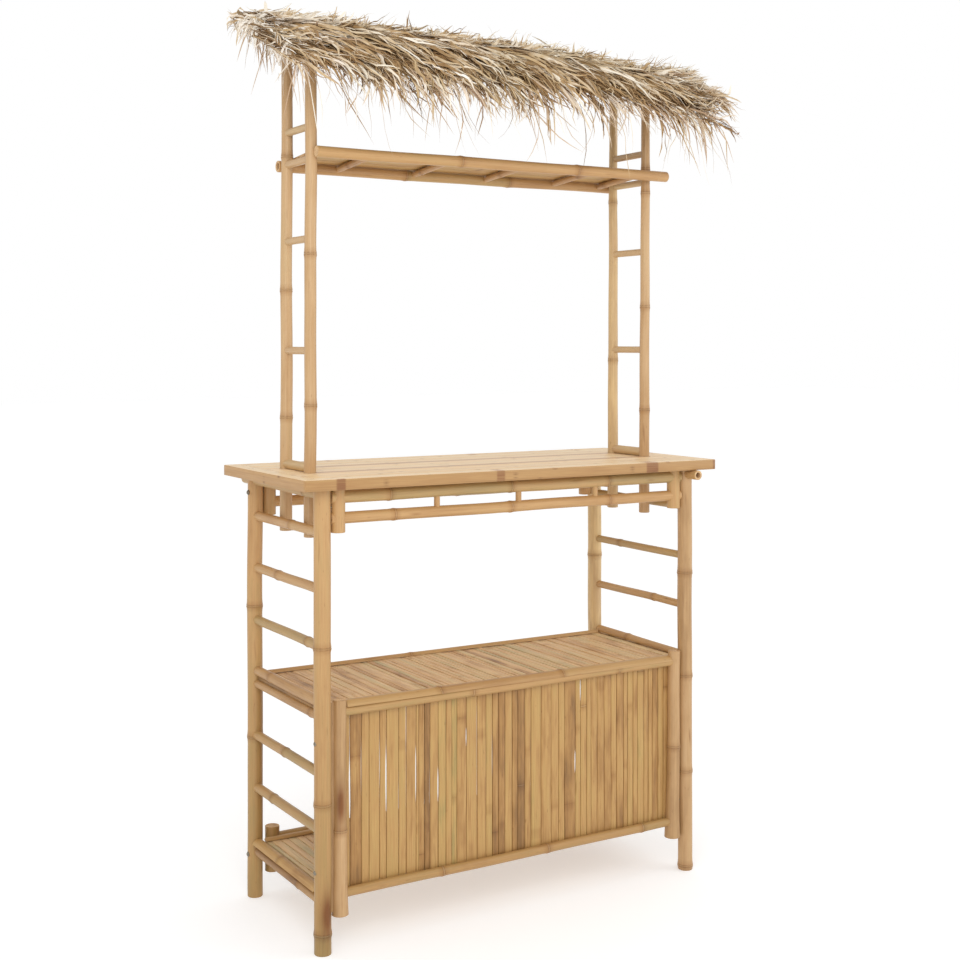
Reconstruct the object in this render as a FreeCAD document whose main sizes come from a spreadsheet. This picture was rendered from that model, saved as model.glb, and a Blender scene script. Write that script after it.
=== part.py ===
"""A free-standing bamboo bar: counter on a shelved base, ladder posts, bottle rack and thatched roof."""
import FreeCAD, Part
import Sketcher
import os
import re

# Driving dimensions, in millimetres
SIZES = {
    # Counter and legs
    "counter_height": 1050,
    "leg_spacing_x": 1014,
    "leg_spacing_y": 394,
    "leg_diameter": 37,
    # What every bamboo culm has: its wall, the hollow seen at an open end, and its swollen nodes
    "culm_wall": 5,
    "bore_depth": 30,
    "stile_bore_depth": 11,
    "node_rise": 1.6,
    "node_half_width": 5.5,
    # Fits between pieces
    "contact_gap": 0.3,
    "socket_clearance": 0.15,
    "socket_end_gap": 0.5,
    # Side frames: a top rail across each pair of legs, and the rungs below it
    "side_rail_diameter": 24,
    "side_rail_length": 465,
    "left_rail_shift": 25.5,
    "right_rail_shift": -20,
    "left_rung_diameter": 22,
    "right_rung_diameter": 19,
    "rung_top_rise": 12,
    "shelf_rung_diameter": 20,
    "bottom_rung_height": 113,
    "rung_spacing": 126.5,
    "shelf_rung_spacing": 154,
    "top_rung_drop": 123,
    "rung_bolt_wall": 1,
    # Aprons under the counter, front and rear
    "apron_stile_diameter": 33,
    "apron_stile_length": 97.5,
    "apron_leg_gap": 1.5,
    "apron_upper_diameter": 25,
    "apron_lower_diameter": 26,
    "apron_upper_drop": 18.5,
    "apron_lower_drop": 66,
    "apron_tenon_diameter": 17,
    "apron_bolt_drop": 41,
    "apron_peg_diameter": 14,
    "apron_peg_spacing": 222.5,
    "apron_peg_shift": 3.5,
    "peg_insertion": 4,
    # Stretcher low down at the rear
    "stretcher_stile_diameter": 35,
    "stretcher_stile_foot": 54,
    "stretcher_stile_rise": 30,
    "stretcher_leg_gap": 8.5,
    "stretcher_rail_diameter": 24,
    "stretcher_tenon_diameter": 16,
    "stretcher_upper_height": 133.5,
    "stretcher_lower_height": 74,
    "stretcher_bolt_height": 104,
    # Front panel
    "panel_post_diameter": 29,
    "panel_post_foot": 78,
    "panel_post_rise": 24,
    "panel_leg_gap": 7,
    "panel_rail_diameter": 21,
    "panel_tenon_diameter": 14,
    "panel_top_rise": 12,
    "panel_bottom_height": 125,
    "panel_rail_flat": 9,
    "panel_upper_bolt_height": 465,
    "panel_lower_bolt_height": 181,
    "panel_slat_count": 48,
    "panel_slat_gap": 1,
    "panel_slat_thickness": 6,
    "panel_slat_top_overlap": 11,
    "panel_slat_bottom_overlap": 6,
    # Shelves
    "batten_width": 25,
    "batten_thickness": 9,
    "batten_spacing": 120,
    "batten_overhang": 13,
    "shelf_slat_count": 48,
    "shelf_slat_gap": 1,
    "shelf_slat_thickness": 6,
    "shelf_end_gap": 1,
    "border_gap": 0.5,
    "border_pole_diameter": 27,
    "border_strip_width": 30,
    "border_strip_rise": 12,
    "front_trim_width": 36,
    "front_trim_rise": 9,
    "rear_trim_width": 16,
    "rear_trim_rise": 7.5,
    # Tabletop
    "tabletop_length": 1140,
    "tabletop_depth": 486,
    "tabletop_thickness": 25,
    "tabletop_edge_width": 38,
    "board_count": 6,
    "board_gap": 0.6,
    "post_hole_clearance": 0.5,
    "tabletop_batten_width": 30,
    "tabletop_batten_thickness": 14,
    "tabletop_batten_spacing": 200,
    "tabletop_batten_gap": 1,
    # Ladder posts above the counter
    "post_diameter": 27,
    "post_spacing_y": 140.5,
    "post_foot_drop": 147,
    "ladder_bottom_diameter": 22,
    "ladder_rung_diameter": 17.5,
    "ladder_rung_insertion": 8,
    "ladder_lower_height": 1330,
    "ladder_middle_height": 1587.5,
    "ladder_rack_height": 1770,
    "ladder_upper_height": 1845,
    # Bottle rack
    "rack_rail_diameter": 27,
    "rack_front_height": 1784,
    "rack_rear_height": 1769,
    "rack_front_left_reach": 478,
    "rack_front_right_reach": 525,
    "rack_rear_left_reach": 490.5,
    "rack_rear_right_reach": 500,
    "rack_dowel_diameter": 18,
    "rack_dowel_insertion": 6,
    "rack_dowel_count": 4,
    "rack_dowel_start": -336,
    "rack_dowel_spacing": 209,
    "rack_end_dowel": 437,
    "rack_plank_count": 4,
    "rack_plank_gap": 2,
    "rack_plank_thickness": 7,
    "rack_plank_left_reach": 462,
    "rack_plank_right_reach": 447,
    "rack_pin_reach": 472,
    # Roof frame
    "roof_rail_diameter": 24,
    "roof_rail_length": 1130,
    "roof_rail_shift": 25,
    "front_roof_height": 2000,
    "roof_rise": 45,
    "rafter_width": 20,
    "rafter_thickness": 8,
    "rafter_length": 355,
    "rafter_shift": -10,
    "rafter_count": 6,
    "rafter_spacing": 220,
    "thatch_rod_diameter": 10,
    "thatch_rod_length": 1120,
    "thatch_rod_spacing": 118,
    # Thatch, measured along the roof slope from its middle and square to it
    "thatch_left_reach": 610,
    "thatch_right_reach": 640,
    "thatch_middle_left_setback": 14,
    "thatch_middle_right_setback": 5,
    "thatch_rear_left_setback": 42,
    "thatch_rear_right_setback": 15,
    "thatch_row_gap": 0.5,
    "thatch_thickness": 54,
    "thatch_rear_reach": 188,
    "thatch_rear_thickness": 26,
    "thatch_rear_overhang": 8,
    "thatch_rear_crest": 53,
    "thatch_rear_seam": 75,
    "thatch_rear_seam_lean": 65,
    "thatch_front_crest": 73,
    "thatch_front_seam": 57,
    "thatch_front_seam_lean": 53,
    "thatch_front_thickness": 46,
    "thatch_front_reach": 177,
    "fringe_crown_reach": 166,
    "fringe_crown_lift": 60,
    "fringe_brow_reach": 254,
    "fringe_brow_lift": 26,
    "fringe_reach": 307,
    "fringe_reach_drop": 25,
    "fringe_tip_reach": 287,
    "fringe_tip_drop": 37,
    "fringe_knee_reach": 232,
    "fringe_knee_lift": 4,
    # Bolts, nuts and headless pins
    "bolt_diameter": 6,
    "bolt_head_diameter": 11,
    "bolt_head_thickness": 2.5,
    "bolt_clearance": 0.5,
    "bolt_end": 2,
    "nut_width": 11.5,
    "nut_thickness": 5,
    "pin_diameter": 3,
    "pin_sinking": 0.5,
    "rail_pin_length": 33,
    "top_pin_reach": 150,
    "top_pin_bite": 15,
    "post_pin_bite": 6,
    "rack_pin_bite": 3,
    "roof_pin_bite": 25,
}

# Where the nodes lie: heights above the floor on upright culms, distances right of the middle on rails
CULM_NODES = {
    "left_front_leg": (38, 330, 675),
    "left_rear_leg": (389, 708),
    "right_front_leg": (12, 253, 497, 761),
    "right_rear_leg": (455, 758),
    "left_front_post": (1205, 1552),
    "left_rear_post": (1172, 1473, 1790),
    "right_front_post": (1173, 1443, 1742, 1805),
    "right_rear_post": (1302, 1729),
    "front_panel_left_post": (266,),
    "front_panel_right_post": (320,),
    "front_panel_top_rail": (-125, 295),
    "front_panel_bottom_rail": (-206, 85, 368),
    "front_apron_upper_rail": (-344, -21, 262),
    "front_apron_lower_rail": (-332, -20, 265),
    "rear_apron_upper_rail": (-120, 210),
    "rear_apron_lower_rail": (-270, 60),
    "rack_front_rail": (-100, 241),
    "rack_rear_rail": (-147, 157),
}

# Places that follow from the sizes
PLACES = {
    "leg_place_x": "leg_spacing_x / 2",
    "leg_place_y": "leg_spacing_y / 2",
    "leg_inner_x": "leg_place_x - leg_diameter / 2",
    "tabletop_underside": "counter_height - tabletop_thickness",
    "side_rail_height": "tabletop_underside - contact_gap - side_rail_diameter / 2",
    "middle_shelf_level": "bottom_rung_height + shelf_rung_spacing + 2 * rung_spacing",
    "low_upper_rung_level": "middle_shelf_level + shelf_rung_spacing",
    "top_rung_level": "counter_height - top_rung_drop",
    "rung_reach": "leg_place_y - bolt_diameter / 2 - bolt_clearance - rung_bolt_wall - socket_end_gap",
    "apron_stile_x": "leg_inner_x - apron_leg_gap - apron_stile_diameter / 2",
    "apron_stile_top": "tabletop_underside - contact_gap",
    "apron_upper_height": "tabletop_underside - apron_upper_drop",
    "apron_lower_height": "tabletop_underside - apron_lower_drop",
    "apron_bolt_height": "tabletop_underside - apron_bolt_drop",
    "stretcher_stile_x": "leg_inner_x - stretcher_leg_gap - stretcher_stile_diameter / 2",
    "panel_post_x": "leg_inner_x - panel_leg_gap - panel_post_diameter / 2",
    "panel_top_height": "middle_shelf_level + panel_top_rise",
    "panel_slat_y": "panel_rail_flat - leg_place_y",
    "panel_post_round": "panel_post_diameter / 2 + node_rise",
    "panel_post_half": "sqrt(panel_post_round * panel_post_round - panel_rail_flat * panel_rail_flat)",
    "panel_slat_field": "panel_post_x - panel_post_half - contact_gap",
    "panel_slat_foot": "panel_bottom_height - panel_slat_bottom_overlap",
    "shelf_half_depth": "leg_place_y - leg_diameter / 2 - shelf_end_gap",
    "tabletop_inner_x": "tabletop_length / 2 - tabletop_edge_width",
    "tabletop_inner_y": "tabletop_depth / 2 - tabletop_edge_width",
    "side_frame_width": "max(side_rail_diameter; left_rung_diameter; right_rung_diameter)",
    "post_place_x": "leg_place_x - side_frame_width / 2 - post_diameter / 2 - contact_gap",
    "post_place_y": "post_spacing_y / 2",
    "post_foot": "counter_height - post_foot_drop",
    "ladder_bottom_height": "counter_height + contact_gap + ladder_bottom_diameter / 2",
    "ladder_reach": "post_place_y - post_diameter / 2 + ladder_rung_insertion",
    "rack_rail_y": "post_place_y + post_diameter / 2 + contact_gap + rack_rail_diameter / 2",
    "rack_angle": "atan((rack_rear_height - rack_front_height) / (2 * rack_rail_y))",
    "rack_middle_height": "(rack_front_height + rack_rear_height) / 2",
    "rack_rail_along": "rack_rail_y / cos(rack_angle)",
    "rack_dowel_reach": "rack_rail_along - rack_rail_diameter / 2 + rack_dowel_insertion",
    "rack_plank_field": "rack_rail_along - rack_rail_diameter / 2 - contact_gap",
    "rear_roof_height": "front_roof_height + roof_rise",
    "roof_angle": "atan(roof_rise / post_spacing_y)",
    "roof_middle_height": "front_roof_height + roof_rise / 2",
    "rafter_lift": "roof_rail_diameter / 2 + contact_gap",
    "thatch_rod_lift": "rafter_lift + rafter_thickness + contact_gap + thatch_rod_diameter / 2",
    "thatch_seat": "thatch_rod_lift + thatch_rod_diameter / 2 + contact_gap",
    "thatch_front": "fringe_reach * cos(roof_angle) - fringe_reach_drop * sin(roof_angle)",
    "bar_rear": "max(side_rail_length / 2 + left_rail_shift; tabletop_depth / 2)",
    "centre_x": "(thatch_left_reach - thatch_right_reach) / 2",
    "centre_y": "(thatch_front - bar_rear) / 2",
}

SIDES = (("left", "-1"), ("right", "1"))
ENDS = (("front", "-1"), ("rear", "1"))
RUNGS_PER_SHELF = 3
RUNG_COUNT = 7
APRON_PEGS = (-1, 0, 1)

# How a piece drawn along +Z is turned to lie along each direction
TURNS = {
    "+Z": FreeCAD.Rotation(),
    "+X": FreeCAD.Rotation(FreeCAD.Vector(0, 1, 0), 90),
    "-X": FreeCAD.Rotation(FreeCAD.Vector(0, 1, 0), -90),
    "+Y": FreeCAD.Rotation(FreeCAD.Vector(1, 0, 0), -90),
}

doc = FreeCAD.newDocument("bamboo_bar")
sheet = doc.addObject("Spreadsheet::Sheet", "Sizes")
nodes = []


def fill_sheet():
    """Write every size and node place as a plain number under its own alias."""
    values = dict(SIZES)
    for culm_name, places in CULM_NODES.items():
        for number, place in enumerate(places, start=1):
            values[f"{culm_name}_node_{number}"] = place
    for row, (alias, number) in enumerate(values.items(), start=1):
        sheet.set(f"A{row}", alias)
        sheet.set(f"B{row}", str(number))
        sheet.setAlias(f"B{row}", alias)
    doc.recompute()
    return values


ALIASES = fill_sheet()


def formula(text):
    """Turn a formula over sizes and places into one over the sheet's cells alone."""
    def word(match):
        name = match.group(0)
        if name in ALIASES:
            return f"Sizes.{name}"
        if name in PLACES:
            return f"({formula(PLACES[name])})"
        return name
    return re.sub(r"[a-z]\w*", word, text)


def value(text):
    """Work a formula out now, for a sketch's starting positions."""
    result = sheet.evalExpression(formula(text))
    return float(getattr(result, "Value", result))


def count(alias):
    """Read a whole number from the sheet."""
    return int(round(value(alias)))


def place(piece, x, y, z, axis="+Z", tilt=None):
    """Bind a piece's place to formulas measured from the middle of the bar; tilt turns it about X."""
    piece.Placement = FreeCAD.Placement(FreeCAD.Vector(), TURNS[axis])
    if tilt:
        piece.Placement = FreeCAD.Placement(FreeCAD.Vector(), FreeCAD.Rotation(FreeCAD.Vector(1, 0, 0), 1))
        piece.setExpression("Placement.Rotation.Angle", formula(tilt))
    piece.setExpression("Placement.Base.x", formula(f"{x} + centre_x"))
    piece.setExpression("Placement.Base.y", formula(f"{y} + centre_y"))
    piece.setExpression("Placement.Base.z", formula(z))


def along_slope(along, lift, angle, middle_height):
    """Give the Y and Z formulas of a point on a sloping frame, from its middle line."""
    y = f"({along}) * cos({angle}) - ({lift}) * sin({angle})"
    z = f"{middle_height} + ({along}) * sin({angle}) + ({lift}) * cos({angle})"
    return y, z


def node(piece, label):
    """Name a finished sub-part."""
    piece.Label = label
    nodes.append(piece)
    return piece


def origin_plane(body, role):
    """Find one of a body's own origin planes or axes."""
    return next(feature for feature in body.Origin.OriginFeatures if feature.Role == role)


def new_sketch(body, role):
    sketch = body.newObject("Sketcher::SketchObject", f"{body.Name}_sketch")
    sketch.AttachmentSupport = [(origin_plane(body, role), "")]
    sketch.MapMode = "FlatFace"
    return sketch


def pin_point(sketch, edge, corner):
    """Hold the start of an edge on the formulas of a corner."""
    for kind, axis_line, text in (("DistanceX", -2, corner[0]), ("DistanceY", -1, corner[1])):
        if text == "0":
            sketch.addConstraint(Sketcher.Constraint("PointOnObject", edge, 1, axis_line))
        else:
            number = sketch.addConstraint(Sketcher.Constraint(kind, -1, 1, edge, 1, value(text)))
            sketch.setExpression(f"Constraints[{number}]", formula(text))


def draw_outline(sketch, corners):
    """Draw a closed outline of straight edges whose corners stay on their formulas."""
    points = [FreeCAD.Vector(value(x), value(y), 0) for x, y in corners]
    for start, end in zip(points, points[1:] + points[:1]):
        sketch.addGeometry(Part.LineSegment(start, end))
    for edge, corner in enumerate(corners):
        following = (edge + 1) % len(corners)
        sketch.addConstraint(Sketcher.Constraint("Coincident", edge, 2, following, 1))
        pin_point(sketch, edge, corner)


def turned(name, corners):
    """Turn an outline of (radius, height) corners about the Z axis."""
    body = doc.addObject("PartDesign::Body", name)
    sketch = new_sketch(body, "XZ_Plane")
    draw_outline(sketch, corners)
    turning = body.newObject("PartDesign::Revolution", f"{name}_turning")
    turning.Profile = sketch
    turning.ReferenceAxis = (sketch, ["V_Axis"])
    turning.Angle = 360
    return body


def padded(name, corners, role, length):
    """Pad an outline of straight edges, square to one of the origin planes."""
    body = doc.addObject("PartDesign::Body", name)
    sketch = new_sketch(body, role)
    draw_outline(sketch, corners)
    pad = body.newObject("PartDesign::Pad", f"{name}_pad")
    pad.Profile = sketch
    pad.setExpression("Length", formula(length))
    return body


def slat_row(name, corners, height, total, pitch):
    """Pad one slat and repeat it along X."""
    body = padded(name, corners, "XY_Plane", height)
    pattern = body.newObject("PartDesign::LinearPattern", f"{name}_row")
    pattern.Originals = [body.Tip]
    pattern.Direction = (origin_plane(body, "X_Axis"), [""])
    pattern.setExpression("Length", formula(f"({total} - 1) * ({pitch})"))
    pattern.setExpression("Occurrences", formula(total))
    body.Tip = pattern
    return body


def culm(name, diameter, length, node_places=(), start_bore=None, end_bore=None):
    """Make a bamboo culm along +Z with its nodes, and hollow at the ends that show."""
    radius = f"{diameter} / 2"
    inside = f"{diameter} / 2 - culm_wall"
    corners = [("0", "0"), (radius, "0")]
    if start_bore:
        corners = [("0", start_bore), (inside, start_bore), (inside, "0"), (radius, "0")]
    for node_place in node_places:
        corners.append((radius, f"{node_place} - node_half_width"))
        corners.append((f"{radius} + node_rise", node_place))
        corners.append((radius, f"{node_place} + node_half_width"))
    corners.append((radius, length))
    if end_bore:
        corners.append((inside, length))
        corners.append((inside, f"{length} - {end_bore}"))
        corners.append(("0", f"{length} - {end_bore}"))
    else:
        corners.append(("0", length))
    return turned(name, corners)


def node_places(name, start):
    """List a culm's node places, measured from its own start."""
    return [f"{name}_node_{number + 1} - ({start})" for number in range(len(CULM_NODES.get(name, ())))]


def rod(name, diameter, length, x, y, z, axis="Z"):
    """Make a plain round rod centred on a point and lying along X, Y or Z."""
    cylinder = doc.addObject("Part::Cylinder", name)
    cylinder.setExpression("Radius", formula(f"({diameter}) / 2"))
    cylinder.setExpression("Height", formula(length))
    start = {"X": x, "Y": y, "Z": z}
    start[axis] = f"{start[axis]} - ({length}) / 2"
    place(cylinder, start["X"], start["Y"], start["Z"], f"+{axis}")
    return cylinder


def socket(name, diameter, length, x, y, z, axis="Z"):
    """Make the space that a rod needs: a little wider, and a little longer at both ends."""
    wide = f"{diameter} + 2 * socket_clearance"
    long = f"{length} + 2 * socket_end_gap"
    return rod(f"{name}_socket", wide, long, x, y, z, axis)


def rod_and_socket(name, diameter, length, x, y, z, axis="Z"):
    return rod(name, diameter, length, x, y, z, axis), socket(name, diameter, length, x, y, z, axis)


def box(name, length, width, height, x, y, z, tilt=None):
    """Make a block from its lowest corner."""
    block = doc.addObject("Part::Box", name)
    block.setExpression("Length", formula(length))
    block.setExpression("Width", formula(width))
    block.setExpression("Height", formula(height))
    place(block, x, y, z, tilt=tilt)
    return block


def group(name, members):
    compound = doc.addObject("Part::Compound", name)
    compound.Links = members
    return compound


def cut(base, tools):
    """Take the tools' shapes out of a piece."""
    result = doc.addObject("Part::Cut", f"{base.Name}_cut")
    result.Base = base
    result.Tool = tools[0] if len(tools) == 1 else group(f"{base.Name}_tools", tools)
    return result


def fuse(base, other):
    result = doc.addObject("Part::Fuse", f"{base.Name}_fused")
    result.Base = base
    result.Tool = other
    return result


def half_culm(name, width, rise, length, role):
    """Make a split culm lying flat side down; it runs along +X from a YZ sketch, -Y from an XZ one."""
    body = doc.addObject("PartDesign::Body", name)
    sketch = new_sketch(body, role)
    half, height = value(f"{width} / 2"), value(rise)
    left, right, top = FreeCAD.Vector(-half, 0, 0), FreeCAD.Vector(half, 0, 0), FreeCAD.Vector(0, height, 0)
    sketch.addGeometry(Part.LineSegment(left, right))
    sketch.addGeometry(Part.Arc(right, top, left))
    pin_point(sketch, 0, (f"-{width} / 2", "0"))
    sketch.addConstraint(Sketcher.Constraint("Symmetric", 0, 1, 0, 2, -2))
    sketch.addConstraint(Sketcher.Constraint("Coincident", 0, 2, 1, 1))
    sketch.addConstraint(Sketcher.Constraint("Coincident", 0, 1, 1, 2))
    radius = f"({width} * {width} / 4 + {rise} * {rise}) / (2 * {rise})"
    number = sketch.addConstraint(Sketcher.Constraint("Radius", 1, value(radius)))
    sketch.setExpression(f"Constraints[{number}]", formula(radius))
    pad = body.newObject("PartDesign::Pad", f"{name}_pad")
    pad.Profile = sketch
    pad.setExpression("Length", formula(length))
    return body


def rung_level(index):
    """Level of a side rung, counted from the floor up; those over the middle shelf share its space evenly."""
    if index > RUNGS_PER_SHELF:
        step = index - RUNGS_PER_SHELF - 1
        step_count = RUNG_COUNT - RUNGS_PER_SHELF - 2
        return f"low_upper_rung_level + {step} * (top_rung_level - low_upper_rung_level) / {step_count}"
    if index == RUNGS_PER_SHELF:
        return "middle_shelf_level"
    if index == 0:
        return "bottom_rung_height"
    return f"bottom_rung_height + shelf_rung_spacing + {index - 1} * rung_spacing"


def rung_facts(side, index):
    """Diameter and height of a side rung: shelf rungs lie at their level, the others hang from their tops."""
    if index in (0, RUNGS_PER_SHELF):
        return "shelf_rung_diameter", rung_level(index)
    return f"{side}_rung_diameter", f"{rung_level(index)} + rung_top_rise - {side}_rung_diameter / 2"


# Each bolt: its end of the bar, its height, and the upright that it pulls against the leg
BOLTS = {
    "front_apron": ("-1", "apron_bolt_height", "apron_stile_x", "apron_stile_diameter"),
    "rear_apron": ("1", "apron_bolt_height", "apron_stile_x", "apron_stile_diameter"),
    "panel_upper": ("-1", "panel_upper_bolt_height", "panel_post_x", "panel_post_diameter"),
    "panel_lower": ("-1", "panel_lower_bolt_height", "panel_post_x", "panel_post_diameter"),
    "stretcher": ("1", "stretcher_bolt_height", "stretcher_stile_x", "stretcher_stile_diameter"),
}


def make_bolts():
    """Make each long bolt with its nut, and the hole that it runs in."""
    fasteners, holes = [], {}
    for side, sign in SIDES:
        for bolt, (end, height, upright_x, upright_diameter) in BOLTS.items():
            name = f"{side}_{bolt}_bolt"
            inner = f"({upright_x} - {upright_diameter} / 2 - contact_gap)"
            outer = "(leg_place_x + leg_diameter / 2 + contact_gap)"
            length = f"{outer} - {inner} + nut_thickness + bolt_end"
            y = f"{end} * leg_place_y"
            head, shank = "bolt_head_diameter / 2", "bolt_diameter / 2"
            body = turned(name, [
                ("0", "-bolt_head_thickness"), (f"{head} * 0.6", "-bolt_head_thickness"),
                (head, "-bolt_head_thickness / 2"), (head, "0"), (shank, "0"), (shank, length), ("0", length),
            ])
            place(body, f"{sign} * {outer}", y, height, "+X" if side == "left" else "-X")
            nut = doc.addObject("Part::Prism", f"{name}_nut")
            nut.Polygon = 6
            nut.setExpression("Circumradius", formula("nut_width / 2"))
            nut.setExpression("Height", formula("nut_thickness"))
            place(nut, f"{sign} * {inner}", y, height, "+X" if side == "left" else "-X")
            thread = rod(f"{name}_thread", "bolt_diameter + 2 * socket_clearance",
                         f"2 * ({length})", f"{sign} * {inner}", y, height, "X")
            fasteners += [body, cut(nut, [thread])]
            reach = f"{outer} - {inner} + leg_diameter"
            middle = f"{sign} * ({outer} + {inner}) / 2"
            holes[side, bolt] = rod(f"{name}_hole", "bolt_diameter + 2 * bolt_clearance",
                                    reach, middle, y, height, "X")
    return fasteners, holes


def make_pins():
    """Make the headless pins that hold the rails, the counter, the posts, the rack and the roof."""
    rail_top = "side_rail_height + side_rail_diameter / 2 - pin_sinking"
    rail_bottom = "side_rail_height - side_rail_diameter / 2 + pin_sinking"
    top_length = f"tabletop_underside + top_pin_bite - ({rail_bottom})"
    post_start = "post_place_x - post_diameter / 2 + pin_sinking"
    post_length = f"leg_place_x + post_pin_bite - ({post_start})"
    rack_length = "rack_rail_y + rack_rail_diameter / 2 - pin_sinking - (post_place_y - rack_pin_bite)"
    rack_middle = f"post_place_y - rack_pin_bite + ({rack_length}) / 2"
    roof_top = "roof_rail_diameter / 2 - pin_sinking"
    roof_length = f"{roof_top} + roof_pin_bite"
    pins, sockets = [], {}
    for side, sign in SIDES:
        for end, end_sign in ENDS:
            leg_at = (f"{sign} * leg_place_x", f"{end_sign} * leg_place_y")
            places = {
                "rail": ("rail_pin_length", *leg_at, f"{rail_top} - rail_pin_length / 2", "Z"),
                "top": (top_length, leg_at[0], f"{end_sign} * top_pin_reach",
                        f"{rail_bottom} + ({top_length}) / 2", "Z"),
                "post": (post_length, f"{sign} * ({post_start} + ({post_length}) / 2)",
                         f"{end_sign} * post_place_y", rung_facts(side, RUNG_COUNT - 1)[1], "X"),
                "rack": (rack_length, f"{sign} * rack_pin_reach", f"{end_sign} * ({rack_middle})",
                         f"rack_{end}_height", "Y"),
                "roof": (roof_length, f"{sign} * post_place_x", f"{end_sign} * post_place_y",
                         f"{end}_roof_height + {roof_top} - ({roof_length}) / 2", "Z"),
            }
            for use, (length, x, y, z, axis) in places.items():
                pin, space = rod_and_socket(f"{side}_{end}_{use}_pin", "pin_diameter", length, x, y, z, axis)
                pins.append(pin)
                sockets[side, end, use] = space
    return pins, sockets


def make_side_frames(bolt_holes, pin_sockets):
    """Make the legs, the top rail across each pair, and the rungs between them."""
    for side, sign in SIDES:
        x = f"{sign} * leg_place_x"
        rungs, rung_sockets = [], []
        for index in range(RUNG_COUNT):
            diameter, height = rung_facts(side, index)
            name = f"{side}_rung_{index + 1}"
            rung, space = rod_and_socket(name, diameter, "2 * rung_reach", x, "0", height, "Y")
            rungs.append(rung)
            rung_sockets.append(space)
        for end, end_sign in ENDS:
            name = f"{side}_{end}_leg"
            y = f"{end_sign} * leg_place_y"
            bumps = node_places(name, "0")
            leg = culm(f"{name}_culm", "leg_diameter", "side_rail_height", bumps, "bore_depth")
            place(leg, x, y, "0")
            saddle = rod(f"{name}_saddle", "side_rail_diameter + 2 * contact_gap", "2 * leg_diameter",
                         x, y, "side_rail_height", "Y")
            holes = [bolt_holes[side, bolt] for bolt, facts in BOLTS.items() if facts[0] == end_sign]
            leg = cut(leg, [saddle, pin_sockets[side, end, "rail"], *holes, *rung_sockets])
            node(leg, name)
        rail = culm(f"{side}_rail_culm", "side_rail_diameter", "side_rail_length",
                    start_bore="bore_depth", end_bore="bore_depth")
        place(rail, x, f"{side}_rail_shift - side_rail_length / 2", "side_rail_height", "+Y")
        pins = [pin_sockets[side, end, use] for end, _ in ENDS for use in ("rail", "top")]
        node(cut(rail, pins), f"{side}_side_top_rail")
        top_rung = cut(rungs[-1], [pin_sockets[side, end, "post"] for end, _ in ENDS])
        node(group(f"{side}_rungs", rungs[:-1] + [top_rung]), f"{side}_side_rungs")


def stile(name, label, diameter, foot, length, x, y, tools):
    """Make an upright culm that a leg carries, hollow at its lower end."""
    body = culm(f"{name}_culm", diameter, length, node_places(label, foot), "stile_bore_depth")
    place(body, x, y, foot)
    return node(cut(body, tools), label)


def tenoned_rail(name, facts, y, z, tools=()):
    """Make a rail coped against its two uprights, with a tenon that runs through each to the leg."""
    diameter, tenon, upright_x, upright_diameter = facts
    body = culm(f"{name}_culm", diameter, f"2 * {upright_x}", node_places(name, f"-{upright_x}"))
    place(body, f"-{upright_x}", y, z, "+X")
    copes = [
        rod(f"{name}_{side}_cope", f"{upright_diameter} + 2 * contact_gap", f"2 * {diameter}",
            f"{sign} * {upright_x}", y, z)
        for side, sign in SIDES
    ]
    core = rod(f"{name}_tenons", tenon, "2 * (leg_inner_x - contact_gap)", "0", y, z, "X")
    rail = fuse(cut(body, copes), core)
    return cut(rail, list(tools)) if tools else rail


def tenon_hole(name, tenon, y, z):
    return rod(f"{name}_hole", f"{tenon} + 2 * socket_clearance", "2 * leg_place_x", "0", y, z, "X")


def make_aprons(bolt_holes):
    """Make the two-rail apron with its pegs, front and rear."""
    for end, end_sign in ENDS:
        y = f"{end_sign} * leg_place_y"
        holes = [tenon_hole(f"{end}_apron_{level}", "apron_tenon_diameter", y, f"apron_{level}_height")
                 for level in ("upper", "lower")]
        for side, sign in SIDES:
            stile(f"{end}_apron_{side}", f"{end}_apron_{side}_stile", "apron_stile_diameter",
                  "apron_stile_top - apron_stile_length", "apron_stile_length", f"{sign} * apron_stile_x", y,
                  [*holes, bolt_holes[side, f"{end}_apron"]])
        low = "apron_lower_height + apron_lower_diameter / 2 - peg_insertion"
        high = "apron_upper_height - apron_upper_diameter / 2 + peg_insertion"
        pegs, peg_sockets = [], []
        for number in APRON_PEGS:
            peg, space = rod_and_socket(
                f"{end}_apron_peg_{number + 2}", "apron_peg_diameter", f"{high} - ({low})",
                f"apron_peg_shift + {number} * apron_peg_spacing", y, f"({high} + {low}) / 2")
            pegs.append(peg)
            peg_sockets.append(space)
        for level in ("upper", "lower"):
            facts = (f"apron_{level}_diameter", "apron_tenon_diameter",
                     "apron_stile_x", "apron_stile_diameter")
            name = f"{end}_apron_{level}_rail"
            node(tenoned_rail(name, facts, y, f"apron_{level}_height", peg_sockets), name)
        node(group(f"{end}_pegs", pegs), f"{end}_apron_pegs")


def make_stretcher(bolt_holes):
    """Make the short ladder-like stretcher low between the rear legs."""
    y = "leg_place_y"
    levels = ("upper", "lower")
    holes = [tenon_hole(f"stretcher_{level}", "stretcher_tenon_diameter", y, f"stretcher_{level}_height")
             for level in levels]
    for side, sign in SIDES:
        stile(f"stretcher_{side}", f"rear_stretcher_{side}_stile", "stretcher_stile_diameter",
              "stretcher_stile_foot", "stretcher_upper_height + stretcher_stile_rise - stretcher_stile_foot",
              f"{sign} * stretcher_stile_x", y,
              [*holes, bolt_holes[side, "stretcher"]])
    facts = ("stretcher_rail_diameter", "stretcher_tenon_diameter", "stretcher_stile_x",
             "stretcher_stile_diameter")
    rails = [tenoned_rail(f"stretcher_{level}_rail", facts, y, f"stretcher_{level}_height")
             for level in levels]
    node(group("stretcher_rails", rails), "rear_stretcher_rails")


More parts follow.
